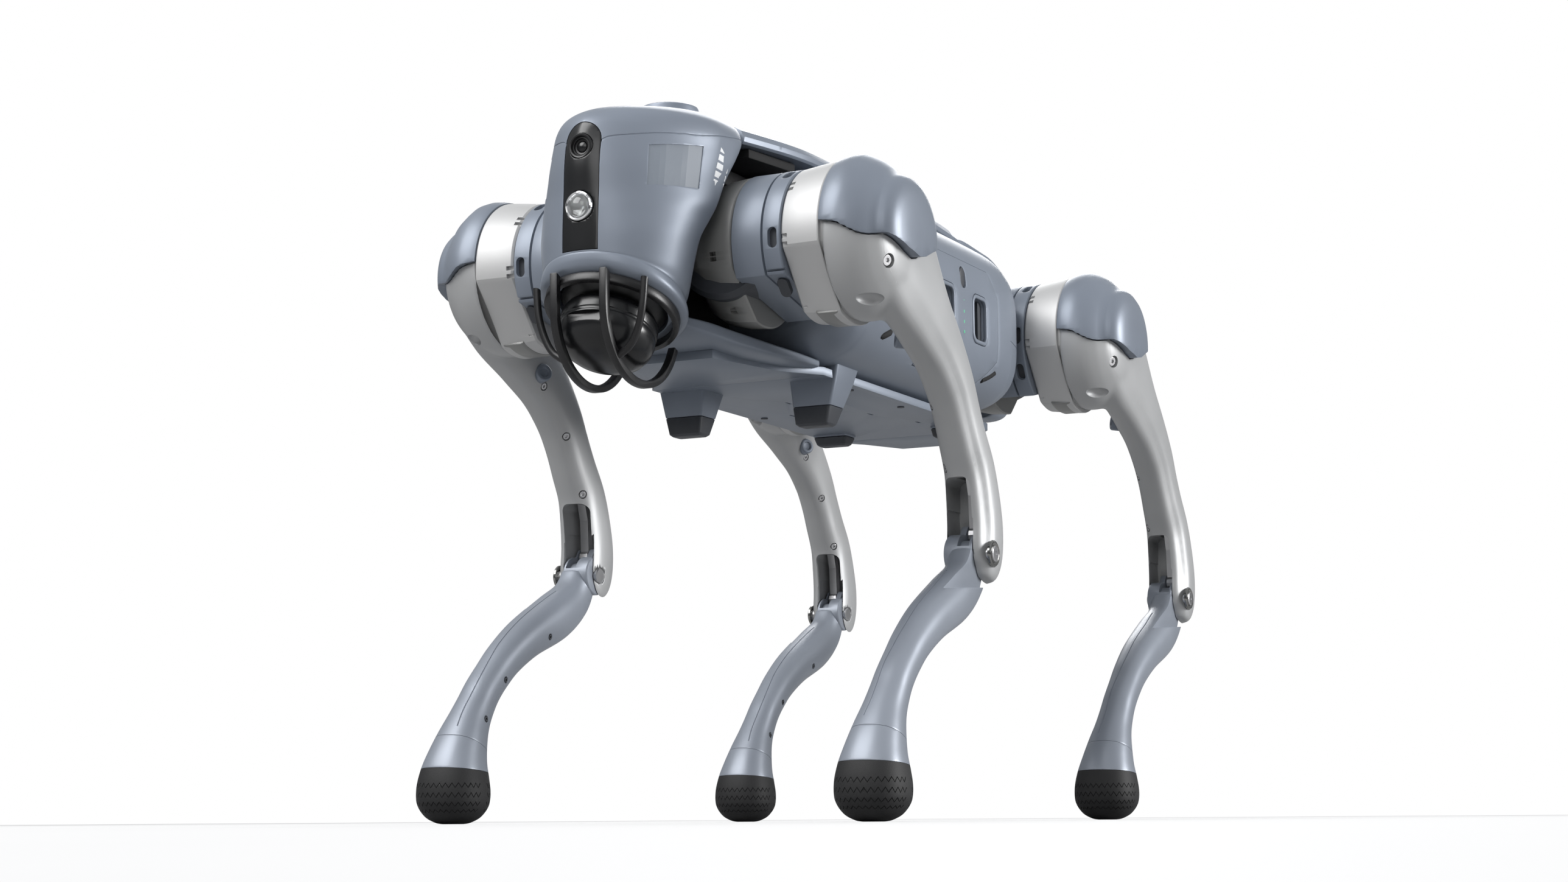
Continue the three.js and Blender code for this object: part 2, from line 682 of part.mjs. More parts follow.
add("trunk_shell", trunkShell(), BLUE_GREY());
add("belly_pan", bellyPan(), BLUE_GREY());
add("top_cover", lidSolid(0), BLUE_GREY());
add("tail_cover", tailCover(), BLUE_GREY());
add("head_shell", headShell(), BLUE_GREY());
add("face_panel", facePanel(), GLOSS_BLACK());
add("camera_lens", cameraLens(), GLOSS_BLACK());
add("headlamp", headlamp(), CLEAR());
add("top_puck", topPuck(), BLUE_GREY());
add("lidar_guard", lidarGuard(), BLACK_PLASTIC());
add("lidar_base", lidarBase(), BLACK_PLASTIC());
add("lidar_rotor", lidarRotor(), GLOSS_BLACK());
add("battery_pack", batteryPack(), BLUE_GREY());
add("battery_latch_front", batteryLatch(GRIPS[1], 1), DARK_GREY());
add("battery_latch_rear", batteryLatch(GRIPS[0], -1), DARK_GREY());
add("power_button", powerButton(), DARK_GREY());
add("landing_pad_fl", landingPad(FRONT_PAD, 1), DARK_GREY());
add("landing_pad_fr", landingPad(FRONT_PAD, -1), DARK_GREY());
add("landing_pad_rl", landingPad(REAR_PAD, 1), DARK_GREY());
add("landing_pad_rr", landingPad(REAR_PAD, -1), DARK_GREY());
addLeg("fl", 1, 1);
addLeg("fr", 1, -1);
addLeg("rl", -1, 1);
addLeg("rr", -1, -1);

export default group;
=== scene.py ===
"""Looks of the quadruped robot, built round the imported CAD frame.

Lengths below are millimetres in the drawing frame of the robot: hip axes at x = +-HIP_X, ground at z = 0.
metres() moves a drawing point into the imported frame. Leg pieces are drawn once, about the thigh axis of
the front left leg, and copied to the four legs.
"""
import json
from math import atan, cos, pi, radians, sin

import bmesh
import bpy
import numpy as np
from mathutils import Matrix, Vector
from mathutils.bvhtree import BVHTree


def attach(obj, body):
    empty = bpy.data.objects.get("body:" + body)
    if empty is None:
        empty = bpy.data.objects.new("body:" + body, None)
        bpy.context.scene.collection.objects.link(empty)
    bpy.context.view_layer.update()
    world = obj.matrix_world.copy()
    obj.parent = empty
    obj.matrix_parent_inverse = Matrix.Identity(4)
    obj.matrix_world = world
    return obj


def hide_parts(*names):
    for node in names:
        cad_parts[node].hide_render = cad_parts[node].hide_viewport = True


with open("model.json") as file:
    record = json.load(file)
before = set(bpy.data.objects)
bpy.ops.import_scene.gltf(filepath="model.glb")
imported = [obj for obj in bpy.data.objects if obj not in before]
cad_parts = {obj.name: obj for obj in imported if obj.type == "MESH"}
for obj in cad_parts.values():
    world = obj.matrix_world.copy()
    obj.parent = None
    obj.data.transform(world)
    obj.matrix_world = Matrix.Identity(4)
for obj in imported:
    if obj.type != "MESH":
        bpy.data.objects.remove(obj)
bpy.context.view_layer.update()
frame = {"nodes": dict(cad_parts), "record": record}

# ---- driving dimensions, as in the CAD: axes of hips and knees, the head, and the battery ----
CENTRE_X = 9.37
HIP_X = 193.4
HIP_Y = 46.5
HIP_Z = 342.5
LEG_Y = 142.0
KNEE = (-116.0, -178.6)
LIDAR_X = 274.0
RIM_TILT = 0.42
RIM_Z = 302.0
LENS_Z = 389.0
LAMP_Z = 353.0
BATTERY = {"x0": -88.0, "x1": 34.0, "z0": 296.0, "z1": 377.0, "face": 97.0}
GRIPS = (-55.0, 1.0)
LEGS = {"fl": (1, 1), "fr": (1, -1), "rl": (-1, 1), "rr": (-1, -1)}
FINE = 96
MM = 0.001
SIDES = ((1, "left"), (-1, "right"))
HOME = Matrix.Translation((CENTRE_X * MM, 0, 0))


# ---- mesh helpers ----
def metres(points):
    """Drawing points in millimetres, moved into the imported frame."""
    moved = np.array(points, dtype=float).reshape(-1, 3)
    moved[:, 0] += CENTRE_X
    return moved * MM


def piece(name, points, faces):
    """A mesh object from drawing points and faces."""
    mesh = bpy.data.meshes.new(name)
    mesh.from_pydata([tuple(p) for p in metres(points)], [], [tuple(f) for f in faces])
    mesh.validate()
    obj = bpy.data.objects.new(name, mesh)
    bpy.context.collection.objects.link(obj)
    outward(obj)
    return obj


def outward(obj):
    """Turns all faces outward."""
    work = bmesh.new()
    work.from_mesh(obj.data)
    bmesh.ops.recalc_face_normals(work, faces=work.faces)
    work.to_mesh(obj.data)
    work.free()


def skin(name, rings):
    """A closed skin over rings of points, an array of rings x points x 3, with flat ends."""
    rings = np.array(rings, dtype=float)
    count, around = rings.shape[:2]
    faces = []
    for ring in range(count - 1):
        for side in range(around):
            after = (side + 1) % around
            low = ring * around
            high = low + around
            faces.append((low + side, low + after, high + after, high + side))
    faces.append(tuple(reversed(range(around))))
    faces.append(tuple((count - 1) * around + side for side in range(around)))
    return piece(name, rings.reshape(-1, 3), faces)


def smooth(rows, count):
    """count rows on the smooth curve through the given rows."""
    rows = np.array(rows, dtype=float)
    place = np.linspace(0, len(rows) - 1, count)
    start = np.minimum(place.astype(int), len(rows) - 2)
    part = (place - start)[:, None]
    before = rows[np.maximum(start - 1, 0)]
    here = rows[start]
    there = rows[start + 1]
    after = rows[np.minimum(start + 2, len(rows) - 1)]
    bend = 2 * before - 5 * here + 4 * there - after
    twist = 3 * here - before - 3 * there + after
    return 0.5 * (2 * here + (there - before) * part + bend * part**2 + twist * part**3)


def rounded(value, power):
    """A cosine or sine, squared off: power 2 gives a circle and more gives a rounded square."""
    return np.sign(value) * np.abs(value) ** (2.0 / power)


AXES = {"x": (1, 2, 0), "y": (0, 2, 1), "z": (0, 1, 2)}


def turned(name, profile, axis, centre, sides=FINE):
    """A turned solid; profile rows are (radius, place along the axis); centre is on the other two axes."""
    first, second, along = AXES[axis]
    rings = []
    for radius, place in profile:
        angle = np.arange(sides) * 2 * pi / sides
        ring = np.zeros((sides, 3))
        ring[:, first] = centre[0] + max(radius, 0.02) * np.cos(angle)
        ring[:, second] = centre[1] + max(radius, 0.02) * np.sin(angle)
        ring[:, along] = place
        rings.append(ring)
    return skin(name, rings)


def rod(radius, low, high, axis, centre, sides=FINE):
    return turned("rod", [(radius, low), (radius, high)], axis, centre, sides)


def prism(name, outline, axis, low, high):
    """An outline on the two other axes, run from low to high along one axis."""
    first, second, along = AXES[axis]
    rings = np.zeros((2, len(outline), 3))
    for end, place in enumerate((low, high)):
        rings[end, :, first] = [p[0] for p in outline]
        rings[end, :, second] = [p[1] for p in outline]
        rings[end, :, along] = place
    return skin(name, rings)


def block(name, x0, x1, y0, y1, z0, z1):
    return prism(name, [(x0, y0), (x1, y0), (x1, y1), (x0, y1)], "z", z0, z1)


def slot_outline(x, z, half_width, half_height, corner, steps=6):
    """A rectangle with rounded corners."""
    outline = []
    for turn, (sx, sz) in enumerate(((1, 1), (-1, 1), (-1, -1), (1, -1))):
        for step in range(steps + 1):
            angle = pi / 2 * (turn + step / steps)
            outline.append((
                x + sx * (half_width - corner) + corner * cos(angle),
                z + sz * (half_height - corner) + corner * sin(angle),
            ))
    return outline


def tube(name, path, radius, sides=8):
    """A round bar along a path of points; radius may be one number or one per point."""
    path = np.array(path, dtype=float)
    radii = np.broadcast_to(radius, len(path))
    run = np.gradient(path, axis=0)
    run /= np.linalg.norm(run, axis=1)[:, None]
    side = np.cross(run[0], (0.31, 0.52, 0.79))
    rings = []
    for point, ahead, size in zip(path, run, radii):
        side = side - ahead * np.dot(side, ahead)
        side /= np.linalg.norm(side)
        other = np.cross(ahead, side)
        angle = np.arange(sides) * 2 * pi / sides
        rings.append(point + size * (np.outer(np.cos(angle), side) + np.outer(np.sin(angle), other)))
    return skin(name, rings)


def surface(obj):
    mesh = obj.data
    points = [v.co.copy() for v in mesh.vertices]
    return BVHTree.FromPolygons(points, [tuple(f.vertices) for f in mesh.polygons])


def snapped(obj, points, lift=0.0, steps=1):
    """The points, moved to the nearest place on the surface of obj, with steps points to each stretch."""
    tree = surface(obj)
    points = np.array(points, dtype=float)
    if steps > 1:
        points = smooth(points, (len(points) - 1) * steps + 1)
    out = []
    for point in metres(points):
        place, normal = tree.find_nearest(Vector(point))[:2]
        place = (place + normal * lift * MM) / MM
        out.append((place.x - CENTRE_X, place.y, place.z))
    return out


def groove(obj, points, radius=0.4, steps=8):
    """A fine groove along a path on the surface."""
    return cut(obj, tube("groove", snapped(obj, points, steps=steps), radius))


def facing(target, place):
    """The nearest point on the surface of target and its outward direction."""
    spot, normal = surface(target).find_nearest(Vector(metres([place])[0]))[:2]
    spot = spot / MM
    return (spot.x - CENTRE_X, spot.y, spot.z), normal


def sunk_screw(target, name, place, radius, depth):
    """Bores a recess into target and returns the socket screw that lies in it."""
    spot, normal = facing(target, place)
    cut(target, aimed(rod(radius, -depth, 4, "z", (0, 0), 32), spot, normal))
    head = [
        (0, -depth - 0.3), (radius * 0.98, -depth - 0.3), (radius * 0.98, -depth + 0.4),
        (radius * 0.8, -depth + 0.5), (radius * 0.72, -depth + 1.9), (0, -depth + 1.9),
    ]
    screw = turned(name, head, "z", (0, 0), 32)
    cut(screw, rod(radius * 0.36, -depth + 0.9, 4, "z", (0, 0), 6))
    return crisp(aimed(screw, spot, normal), 25, edge=0.15)


def together(pieces):
    """Joins pieces that don't touch into one object."""
    points, faces = [], []
    for obj in pieces:
        first = len(points)
        points += [tuple(v.co / MM - Vector((CENTRE_X, 0, 0))) for v in obj.data.vertices]
        faces += [tuple(first + corner for corner in f.vertices) for f in obj.data.polygons]
    name = pieces[0].name
    for obj in pieces:
        drop(obj)
    return piece(name, points, faces)


def aimed(obj, centre, direction):
    """Moves a piece that is drawn along z at the origin to centre, facing direction."""
    turn = Vector(direction).normalized().to_track_quat("Z", "Y").to_matrix().to_4x4()
    obj.data.transform(Matrix.Translation(Vector(metres([centre])[0])) @ turn @ HOME.inverted())
    return obj


def drop(obj):
    mesh = obj.data
    bpy.data.objects.remove(obj)
    bpy.data.meshes.remove(mesh)


def settle(obj):
    """Applies the modifiers of obj."""
    graph = bpy.context.evaluated_depsgraph_get()
    done = bpy.data.meshes.new_from_object(obj.evaluated_get(graph))
    old = obj.data
    obj.modifiers.clear()
    obj.data = done
    bpy.data.meshes.remove(old)
    return obj


def combine(obj, *others, operation="DIFFERENCE"):
    for other in others:
        modifier = obj.modifiers.new("combine", "BOOLEAN")
        modifier.operation = operation
        modifier.solver = "EXACT"
        modifier.object = other
        settle(obj)
        drop(other)
    return obj


def cut(obj, *others):
    return combine(obj, *others)


def join(obj, *others):
    return combine(obj, *others, operation="UNION")


def keep(obj, *others):
    return combine(obj, *others, operation="INTERSECT")


def crisp(obj, angle=32.0, edge=0.0, segments=2):
    """Smooth shading with sharp creases, and an optional small rounded edge in millimetres."""
    if edge:
        modifier = obj.modifiers.new("edge", "BEVEL")
        modifier.width = edge * MM
        modifier.segments = segments
        modifier.limit_method = "ANGLE"
        modifier.angle_limit = radians(angle + 8)
        modifier.use_clamp_overlap = True
        modifier.harden_normals = False
        settle(obj)
    obj.data.shade_smooth()
    obj.data.set_sharp_from_angle(angle=radians(angle))
    return obj


# ---- materials ----
def base_nodes(name):
    material = bpy.data.materials.new(name)
    material.use_nodes = True
    tree = material.node_tree
    return material, tree, tree.nodes["Principled BSDF"]


def add_node(tree, kind, **settings):
    """A new shader node with its inputs set; an underscore in an input's name stands for a space."""
    node = tree.nodes.new("ShaderNode" + kind)
    for name, value in settings.items():
        node.inputs[name.replace("_", " ")].default_value = value
    return node


def wire(tree, *rows):
    """Links nodes; a row is a node and its output, then a node and its input."""
    for source, output, target, socket in rows:
        tree.links.new(source.outputs[output], target.inputs[socket])


def ramp_ends(ramp, low, low_colour, high, high_colour):
    """Sets the two ends of a colour ramp."""
    for end, place, colour in zip(ramp.color_ramp.elements, (low, high), (low_colour, high_colour)):
        end.position = place
        end.color = (*colour, 1)


def finish(name, colour, roughness, metallic=0.0, coat=0.0, shade=0.05, grain=900.0, bump=0.02,
           uneven=0.06):
    """A moulded, painted or metal finish with soft colour drift, uneven gloss and fine grain."""
    material, tree, shader = base_nodes(name)
    place = add_node(tree, "TexCoord")
    drift = add_node(tree, "TexNoise", Scale=14.0, Detail=4.0)
    ramp = add_node(tree, "ValToRGB")
    darker = [c * (1 - shade) for c in colour]
    lighter = [min(1, c * (1 + shade)) for c in colour]
    ramp_ends(ramp, 0.3, darker, 0.7, lighter)
    fine = add_node(tree, "TexNoise", Scale=grain, Detail=2.0)
    low = max(0.02, roughness - uneven)
    high = min(1.0, roughness + uneven)
    gloss = add_node(tree, "MapRange", To_Min=low, To_Max=high)
    relief = add_node(tree, "Bump", Strength=bump, Distance=0.0006)
    wire(
        tree,
        (place, "Object", drift, "Vector"),
        (place, "Object", fine, "Vector"),
        (drift, "Fac", ramp, "Fac"),
        (ramp, "Color", shader, "Base Color"),
        (drift, "Fac", gloss, "Value"),
        (gloss, "Result", shader, "Roughness"),
        (fine, "Fac", relief, "Height"),
        (relief, "Normal", shader, "Normal"),
    )
    shader.inputs["Metallic"].default_value = metallic
    shader.inputs["Coat Weight"].default_value = coat
    shader.inputs["Coat Roughness"].default_value = 0.2
    return material


def glowing(name, colour, strength):
    material = finish(name, colour, 0.3)
    shader = material.node_tree.nodes["Principled BSDF"]
    shader.inputs["Emission Color"].default_value = (*colour, 1)
    shader.inputs["Emission Strength"].default_value = strength
    return material


def clear(name):
    material = finish(name, (0.95, 0.97, 0.98), 0.05, shade=0.01, bump=0.004, uneven=0.02)
    shader = material.node_tree.nodes["Principled BSDF"]
    shader.inputs["Transmission Weight"].default_value = 0.92
    shader.inputs["IOR"].default_value = 1.46
    return material


# A look is a material and the slot it fills.
SHELL = (finish("shell_paint", (0.195, 0.222, 0.268), 0.44, metallic=0.3, coat=0.05), "blue_grey")
PALE = (finish("pale_paint", (0.255, 0.28, 0.325), 0.42, metallic=0.3, coat=0.05), "pale_blue")
SILVER = (finish("satin_aluminium", (0.50, 0.50, 0.50), 0.5, metallic=0.35, shade=0.02), "silver")
BEIGE = (finish("motor_casing", (0.26, 0.26, 0.255), 0.42, metallic=0.4, shade=0.03), "blue_grey")
THIGH = (finish("thigh_metal_paint", (0.41, 0.415, 0.42), 0.46, metallic=0.4, shade=0.03), "silver")
GLOSS_BLACK = (finish("gloss_black", (0.006, 0.0065, 0.0075), 0.26, bump=0.004, uneven=0.03), "gloss_black")
BLACK = (finish("black_plastic", (0.008, 0.008, 0.009), 0.38, bump=0.05), "black_plastic")
RUBBER = (finish("rubber", (0.006, 0.006, 0.0068), 0.66, shade=0.12, grain=1500.0, bump=0.12), "rubber")
DARK = (finish("dark_grey_plastic", (0.040, 0.044, 0.052), 0.5, bump=0.05), "dark_grey")
# Painted shade: a near-black matt finish for the sheets, blocks and bars set in hollows, slots and gaps to
# stand in for the shade there.
PAINTED_SHADE = (finish("painted_shade_black", (0.004, 0.0042, 0.005), 0.8, bump=0.05), "dark_grey")
STEEL = (finish("machined_steel", (0.55, 0.55, 0.56), 0.3, metallic=0.95, shade=0.04), "steel")
REFLECTOR = (
    finish("dark_reflector", (0.30, 0.30, 0.29), 0.16, 1.0, shade=0.02, bump=0.003, uneven=0.03), "lamp",
)
CHROME = (finish("chrome_ring", (0.82, 0.82, 0.83), 0.08, 1.0, shade=0.01, bump=0.003, uneven=0.03), "lamp")
WHITE = (finish("white_print", (0.78, 0.79, 0.80), 0.5, shade=0.02), "blue_grey")
MARK = (finish("grey_print", (0.18, 0.205, 0.24), 0.45, shade=0.03), "blue_grey")
GREEN = (glowing("green_light", (0.08, 0.42, 0.22), 0.35), "dark_grey")
CLEAR = (clear("clear_lens"), "lamp")


def dress(obj, material):
    obj.data.materials.clear()
    obj.data.materials.append(material)
    return obj


def in_slot(look, slot):
    """The same material in another slot."""
    return look[0], slot


def mount(obj, body, look, *nodes):
    """Gives a finished piece its look, its body and the CAD nodes it stands for."""
    material, slot = look
    dress(obj, material)
    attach(obj, body)
    if nodes:
        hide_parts(*nodes)
    return obj


# ---- one leg, about the thigh axis; y = 0 is the middle of the leg, +y outward ----
# Rows of the thigh and of the shin: x, z, half depth and half width.
THIGH_ROWS = [
    (-2, 0, 39, 14.8), (-22, -18, 35.5, 15), (-46, -38, 26, 14.6), (-68, -55, 20.5, 14),
    (-86, -74, 17.5, 13.8), (-97, -91, 16.5, 13.4), (-106, -107, 16.5, 13.8), (-116, -124, 17, 14.6),
    (-121, -141, 18, 15.4), (-124, -160, 19, 16), (-123, -176, 19, 16), (-120.5, -187, 15.5, 15.2),
    (-118, -193, 9, 13.2), (-117.5, -194.4, 4, 11),
]
SHIN_ROWS = [
    (-112, -182, 12, 12), (-102, -196, 14, 12.6), (-80, -209, 15.5, 14), (-47, -224, 13.5, 13),
    (-24, -238, 12, 11.8), (-10, -249.5, 11.4, 11.2), (1, -260, 11.4, 11.2), (9, -270, 11.8, 11.6),
    (16, -280, 13.2, 12.6), (22.5, -291, 15.3, 15), (27.5, -302, 18, 17.5), (30.5, -312, 20.4, 20.2),
    (32, -322, 21.8, 21.8), (32, -331, 21, 21), (32, -338, 16.5, 16.5), (32, -341.6, 10.5, 10.5),
    (32, -342.5, 6, 6),
]
# Profiles of the hip cap and of the thigh's head: radius and y.
CAP_PROFILE = [
    (50.2, -23), (51.2, -19), (51.7, -14), (51.0, -9), (48.8, -5), (45.6, 0), (41.5, 4), (38.4, 7),
    (37.0, 9.5), (36.4, 12), (34.4, 15), (30.5, 17.6), (25, 19.4), (16, 20.6), (6, 21), (0, 21),
]
LOWER_PROFILE = [
    (47.8, -23), (47.9, -14), (46.8, -8), (44.6, -3), (41.0, 2.5), (37.6, 6), (35, 8.6), (31, 11),
    (26, 12.8), (18, 14.2), (8, 15),
]
# Height of the cap's lower edge round the leg: (degrees from straight ahead, height above the thigh axis).
CAP_EDGE = [
    (-120, 10), (-60, 8), (-20, 4), (-9, 2.4), (-3, -0.9), (3, -3.8), (10, -5.2), (18, -4.6),
    (27, -4.2), (34, -5.5), (41, -7.3), (56, -10.6), (83, -13.5), (103, -12), (130, -6), (160, 2),
    (190, 8), (240, 10),
]
CAP_EDGE_Y = -5.0
# A soft channel runs down the outer front of the thigh.
CHANNEL_AT = radians(52)
CHANNEL_WIDE = 0.26


def limb_rings(rows, rings, sides, power, channel=0.0):
    """Rings of a limb that bends in the X-Z plane, with an optional soft channel of that depth."""
    rows = smooth(rows, rings)
    run = np.gradient(rows[:, :2], axis=0)
    run /= np.linalg.norm(run, axis=1)[:, None]
    angle = np.arange(sides) * 2 * pi / sides
    out = np.zeros((rings, sides, 3))
    for index in range(rings):
        fade = channel * sin(pi * index / (rings - 1)) ** 0.7
        pull = 1 - fade * np.exp(-(((angle - CHANNEL_AT) / CHANNEL_WIDE) ** 2))
        depth = rows[index, 2] * rounded(np.cos(angle), power) * pull
        out[index, :, 0] = rows[index, 0] - run[index, 1] * depth
        out[index, :, 1] = rows[index, 3] * rounded(np.sin(angle), power) * pull
        out[index, :, 2] = rows[index, 1] + run[index, 0] * depth
    return out


def cap_curtain(name, lift):
    """Everything above the cap's edge, raised by lift."""
    angle = np.radians(np.arange(0, 360, 4.0))
    turn = np.degrees(angle)
    turn = np.where(turn > 240, turn - 360, turn)
    edge = np.interp(turn, [row[0] for row in CAP_EDGE], [row[1] for row in CAP_EDGE]) + lift
    rings = []
    for radius, top in ((12, False), (30, False), (90, False), (90, True), (12, True)):
        ring = np.zeros((len(angle), 3))
        ring[:, 0] = radius * np.cos(angle)
        ring[:, 1] = CAP_EDGE_Y + radius * np.sin(angle)
        ring[:, 2] = 90 if top else edge
        rings.append(ring)
    return skin(name, rings)


def hip_dome(name, profile):
    return turned(name, [(0, -23), *profile], "y", (0, 0))


def hip_cap():
    inner = [
        (0, -30), (47.2, -30), (47.2, -15.2), (45.5, -12), (43.4, -6), (39, 0), (34, 5), (33, 10.6),
        (0, 10.6),
    ]
    cap = hip_dome("hip_cap", CAP_PROFILE)
    keep(cap, cap_curtain("above", 0.0))
    cut(cap, turned("inside", inner, "y", (0, 0)))
    return crisp(cap, edge=0.7)


# The drum's inner end, the step at its outer end, and the flat on its lower front.
DRUM_IN = -49.0
DRUM_STEP = -23.6
CREASE = radians(-10)
CREASE_END = radians(-68)


def drum_rings(profile, flat_from=CREASE, flat_to=CREASE_END, sides=FINE * 2):
    """Rings of a drum that is flattened below its front."""
    middle = (flat_from + flat_to) / 2
    half = (flat_from - flat_to) / 2
    rings = []
    for radius, y in profile:
        ring = np.zeros((sides, 3))
        for side in range(sides):
            angle = side * 2 * pi / sides
            away = (angle - middle + pi) % (2 * pi) - pi
            reach = radius
            if abs(away) < half:
                reach = radius * cos(half) / cos(away)
            ring[side] = (reach * cos(angle), y, reach * sin(angle))
        rings.append(ring)
    return rings


def motor_drum():
    profile = [
        (20, DRUM_IN), (45.6, DRUM_IN), (46.9, DRUM_IN + 1.2), (48.2, -38), (49.4, -28),
        (49.6, DRUM_STEP - 0.8), (49.2, DRUM_STEP), (46.4, DRUM_STEP), (46.4, -16), (45, -15.5),
        (20, -15.5),
    ]
    drum = skin("thigh_motor_drum", drum_rings(profile))
    for angle in (-9, -3, 36, 42, -62, -56, 112, 118):
        cut(drum, swung(block("clip", 44.8, 60, DRUM_IN - 2, DRUM_IN + 4.2, -1.35, 1.35), angle))
    return crisp(drum, angle=20, edge=0.35)


def swung(obj, degrees):
    """Turns a leg piece about the thigh axis."""
    obj.data.transform(HOME @ Matrix.Rotation(-radians(degrees), 4, "Y") @ HOME.inverted())
    return obj


def thigh_shell():
    """The thigh's head and arm, blended into one skin and then hollowed."""
    shell = hip_dome("thigh_shell", LOWER_PROFILE)
    join(shell, skin("arm", limb_rings(THIGH_ROWS, 90, 96, 2.6, channel=0.12)))
    remesh = shell.modifiers.new("remesh", "REMESH")
    remesh.mode = "VOXEL"
    remesh.voxel_size = 1.3 * MM
    settle(shell)
    soften = shell.modifiers.new("soften", "SMOOTH")
    soften.factor = 0.5
    soften.iterations = 16
    settle(shell)
    thin = shell.modifiers.new("thin", "DECIMATE")
    thin.ratio = 0.35
    settle(shell)
    cut(shell, cap_curtain("above", -0.8))
    step = DRUM_STEP + 0.4
    inside = [(0, -30), (50, -30), (50, step), (47, step), (47, -15), (0, -15)]
    cut(shell, turned("drum_room", inside, "y", (0, 0)))
    root = [(20, -15), (43, -15), (43, -6), (38.6, 0), (33.6, 5), (32.6, 10), (20, 10)]
    join(shell, turned("root", root, "y", (0, 0)))
    cut(shell, rod(24, -8, 4.6, "y", (0, 0), 48))
    channel = [
        (-14, 10), (-40, -9), (-60, -28), (-86, -48), (-103, -72), (-114, -100), (-126, -122),
        (-134, -142), (-136, -178), (-104, -180), (-108, -142), (-103, -124), (-97, -106), (-87, -88),
        (-72, -68), (-48, -50), (-22, -30), (-8, -16),
    ]
    cut(shell, prism("channel", channel, "y", -4.6, 4.6))
    return shell


# The calf sits in the fork between these; the outer cheek is thicker than the inner one.
FORK_IN = -13.6
FORK_OUT = 6.3
HUB_OUT = 5.7
CHEEK_OUT = 15.6
# Below the outer cheek the calf steps out to its full width; this is the part cut away above the step.
LEDGE = [(-150, -197), (-128, -198.6), (-96, -201), (-50, -204.5), (-50, -150), (-150, -150)]


def knee_slot():
    """The round-cornered window in the front of the fork, and the fork itself, which is open below."""
    window = prism("window", slot_outline(-3.5, -160.0, 9.2, 29.0, 5.0), "x", -131.0, -70.0)
    fork = [
        (-131, -150), (-112, -150), (-104, -158), (-70, -158), (-70, -215), (-150, -215), (-150, -176),
        (-134, -170),
    ]
    return window, prism("fork", fork, "y", FORK_IN, FORK_OUT)


def copy_to_leg(master, tag, name):
    """A copy of a leg piece at its leg, mirrored on the right."""
    end, side = LEGS[tag]
    mesh = master.data.copy()
    obj = bpy.data.objects.new(f"{name}_{tag}", mesh)
    bpy.context.collection.objects.link(obj)
    shift = Matrix.Translation((end * HIP_X * MM, side * LEG_Y * MM, HIP_Z * MM))
    mesh.transform(shift @ Matrix.Diagonal((1, side, 1, 1)))
    if side < 0:
        mesh.flip_normals()
    return obj


def to_legs(master, name, body, look, *nodes, hip=False):
    """Copies a leg piece to the four legs. A hip piece is mirrored end for end on the rear legs."""
    for tag, (end, _) in LEGS.items():
        source = master
        if hip and end < 0:
            source = master.copy()
            source.data = master.data.copy()
            source.data.transform(HOME @ Matrix.Diagonal((-1, 1, 1, 1)) @ HOME.inverted())
            source.data.flip_normals()
        obj = copy_to_leg(source, tag, name)
        mount(obj, f"{body}_{tag}", look, *[f"{node}_{tag}" for node in nodes])
        if source is not master:
            drop(source)
    drop(master)


# The big screw under the hip cap, the screws on the inner front of the thigh, and the dimple.
THIGH_SCREW = (26.6, 15, -20.5)
THIGH_SCREWS = [(-50, -13, -60), (-79, -13, -90), (-100, -13, -126)]
DIMPLE_AT = (22, -2, -43)
DIMPLE_HALF = (5.0, 9.5, 4.6)


def at_knee(name, profile, sides=40):
    return turned(name, profile, "y", KNEE, sides)


def knee_rod(radius, low, high, sides=40):
    return rod(radius, low, high, "y", KNEE, sides)


def build_thigh():
    shell = thigh_shell()
    cut(shell, *knee_slot())
    cut(shell, knee_rod(22.8, -8.5, FORK_OUT, 64), knee_rod(5.3, -30, 30))
    cut(shell, knee_rod(8.6, CHEEK_OUT - 1.2, 30))
    end = CHEEK_OUT + 1.6
    pin = [(0, -16), (4.4, -16), (5, -15.4), (5, end - 0.5), (4.3, end), (1.6, end)]
    pin += [(1.4, end - 0.8), (0, end - 0.8)]
    to_legs(crisp(at_knee("pin", pin)), "knee_pin_skin", "thigh", STEEL, "knee_pin")
    floor = CHEEK_OUT - 1.1
    top = CHEEK_OUT + 0.9
    washer = [(5.4, floor), (8.2, floor), (8.2, top - 0.7), (7.5, top), (6.3, top - 0.2), (5.4, top - 0.8)]
    to_legs(crisp(at_knee("washer", washer, 48)), "knee_washer", "thigh", in_slot(REFLECTOR, "steel"))
    screws = [sunk_screw(shell, "thigh_screws", THIGH_SCREW, 4.4, 3.4)]
    for place in THIGH_SCREWS:
        screws.append(sunk_screw(shell, "thigh_screw", place, 3.0, 2.2))
    wide, tall, deep = DIMPLE_HALF
    rings = []
    for a in (0.3, 0.7, 1.1, 1.57, 2.04, 2.44, 2.84):
        turns = np.arange(32) * pi / 16
        rings.append([(tall * sin(a) * sin(b), wide * sin(a) * cos(b), deep * cos(a)) for b in turns])
    cut(shell, aimed(skin("dimple", rings), *facing(shell, DIMPLE_AT)))
    to_legs(together(screws), "thigh_screws", "thigh", STEEL)
    to_legs(crisp(shell, angle=38), "thigh_shell_skin", "thigh", THIGH, "thigh_shell")
    to_legs(hip_cap(), "hip_cap_skin", "thigh", SHELL, "hip_cap")
    to_legs(motor_drum(), "thigh_motor_drum_skin", "thigh", SILVER, "thigh_motor_drum")


# The joints between shin, ankle and foot: a point and the downward direction.
FOOT_PLANE = ((29.0, 0.0, -310.5), (0.1, 0.0, -0.995))
ANKLE_PLANE = ((21.0, 0.0, -296.0), (0.4, 0.0, -0.9165))


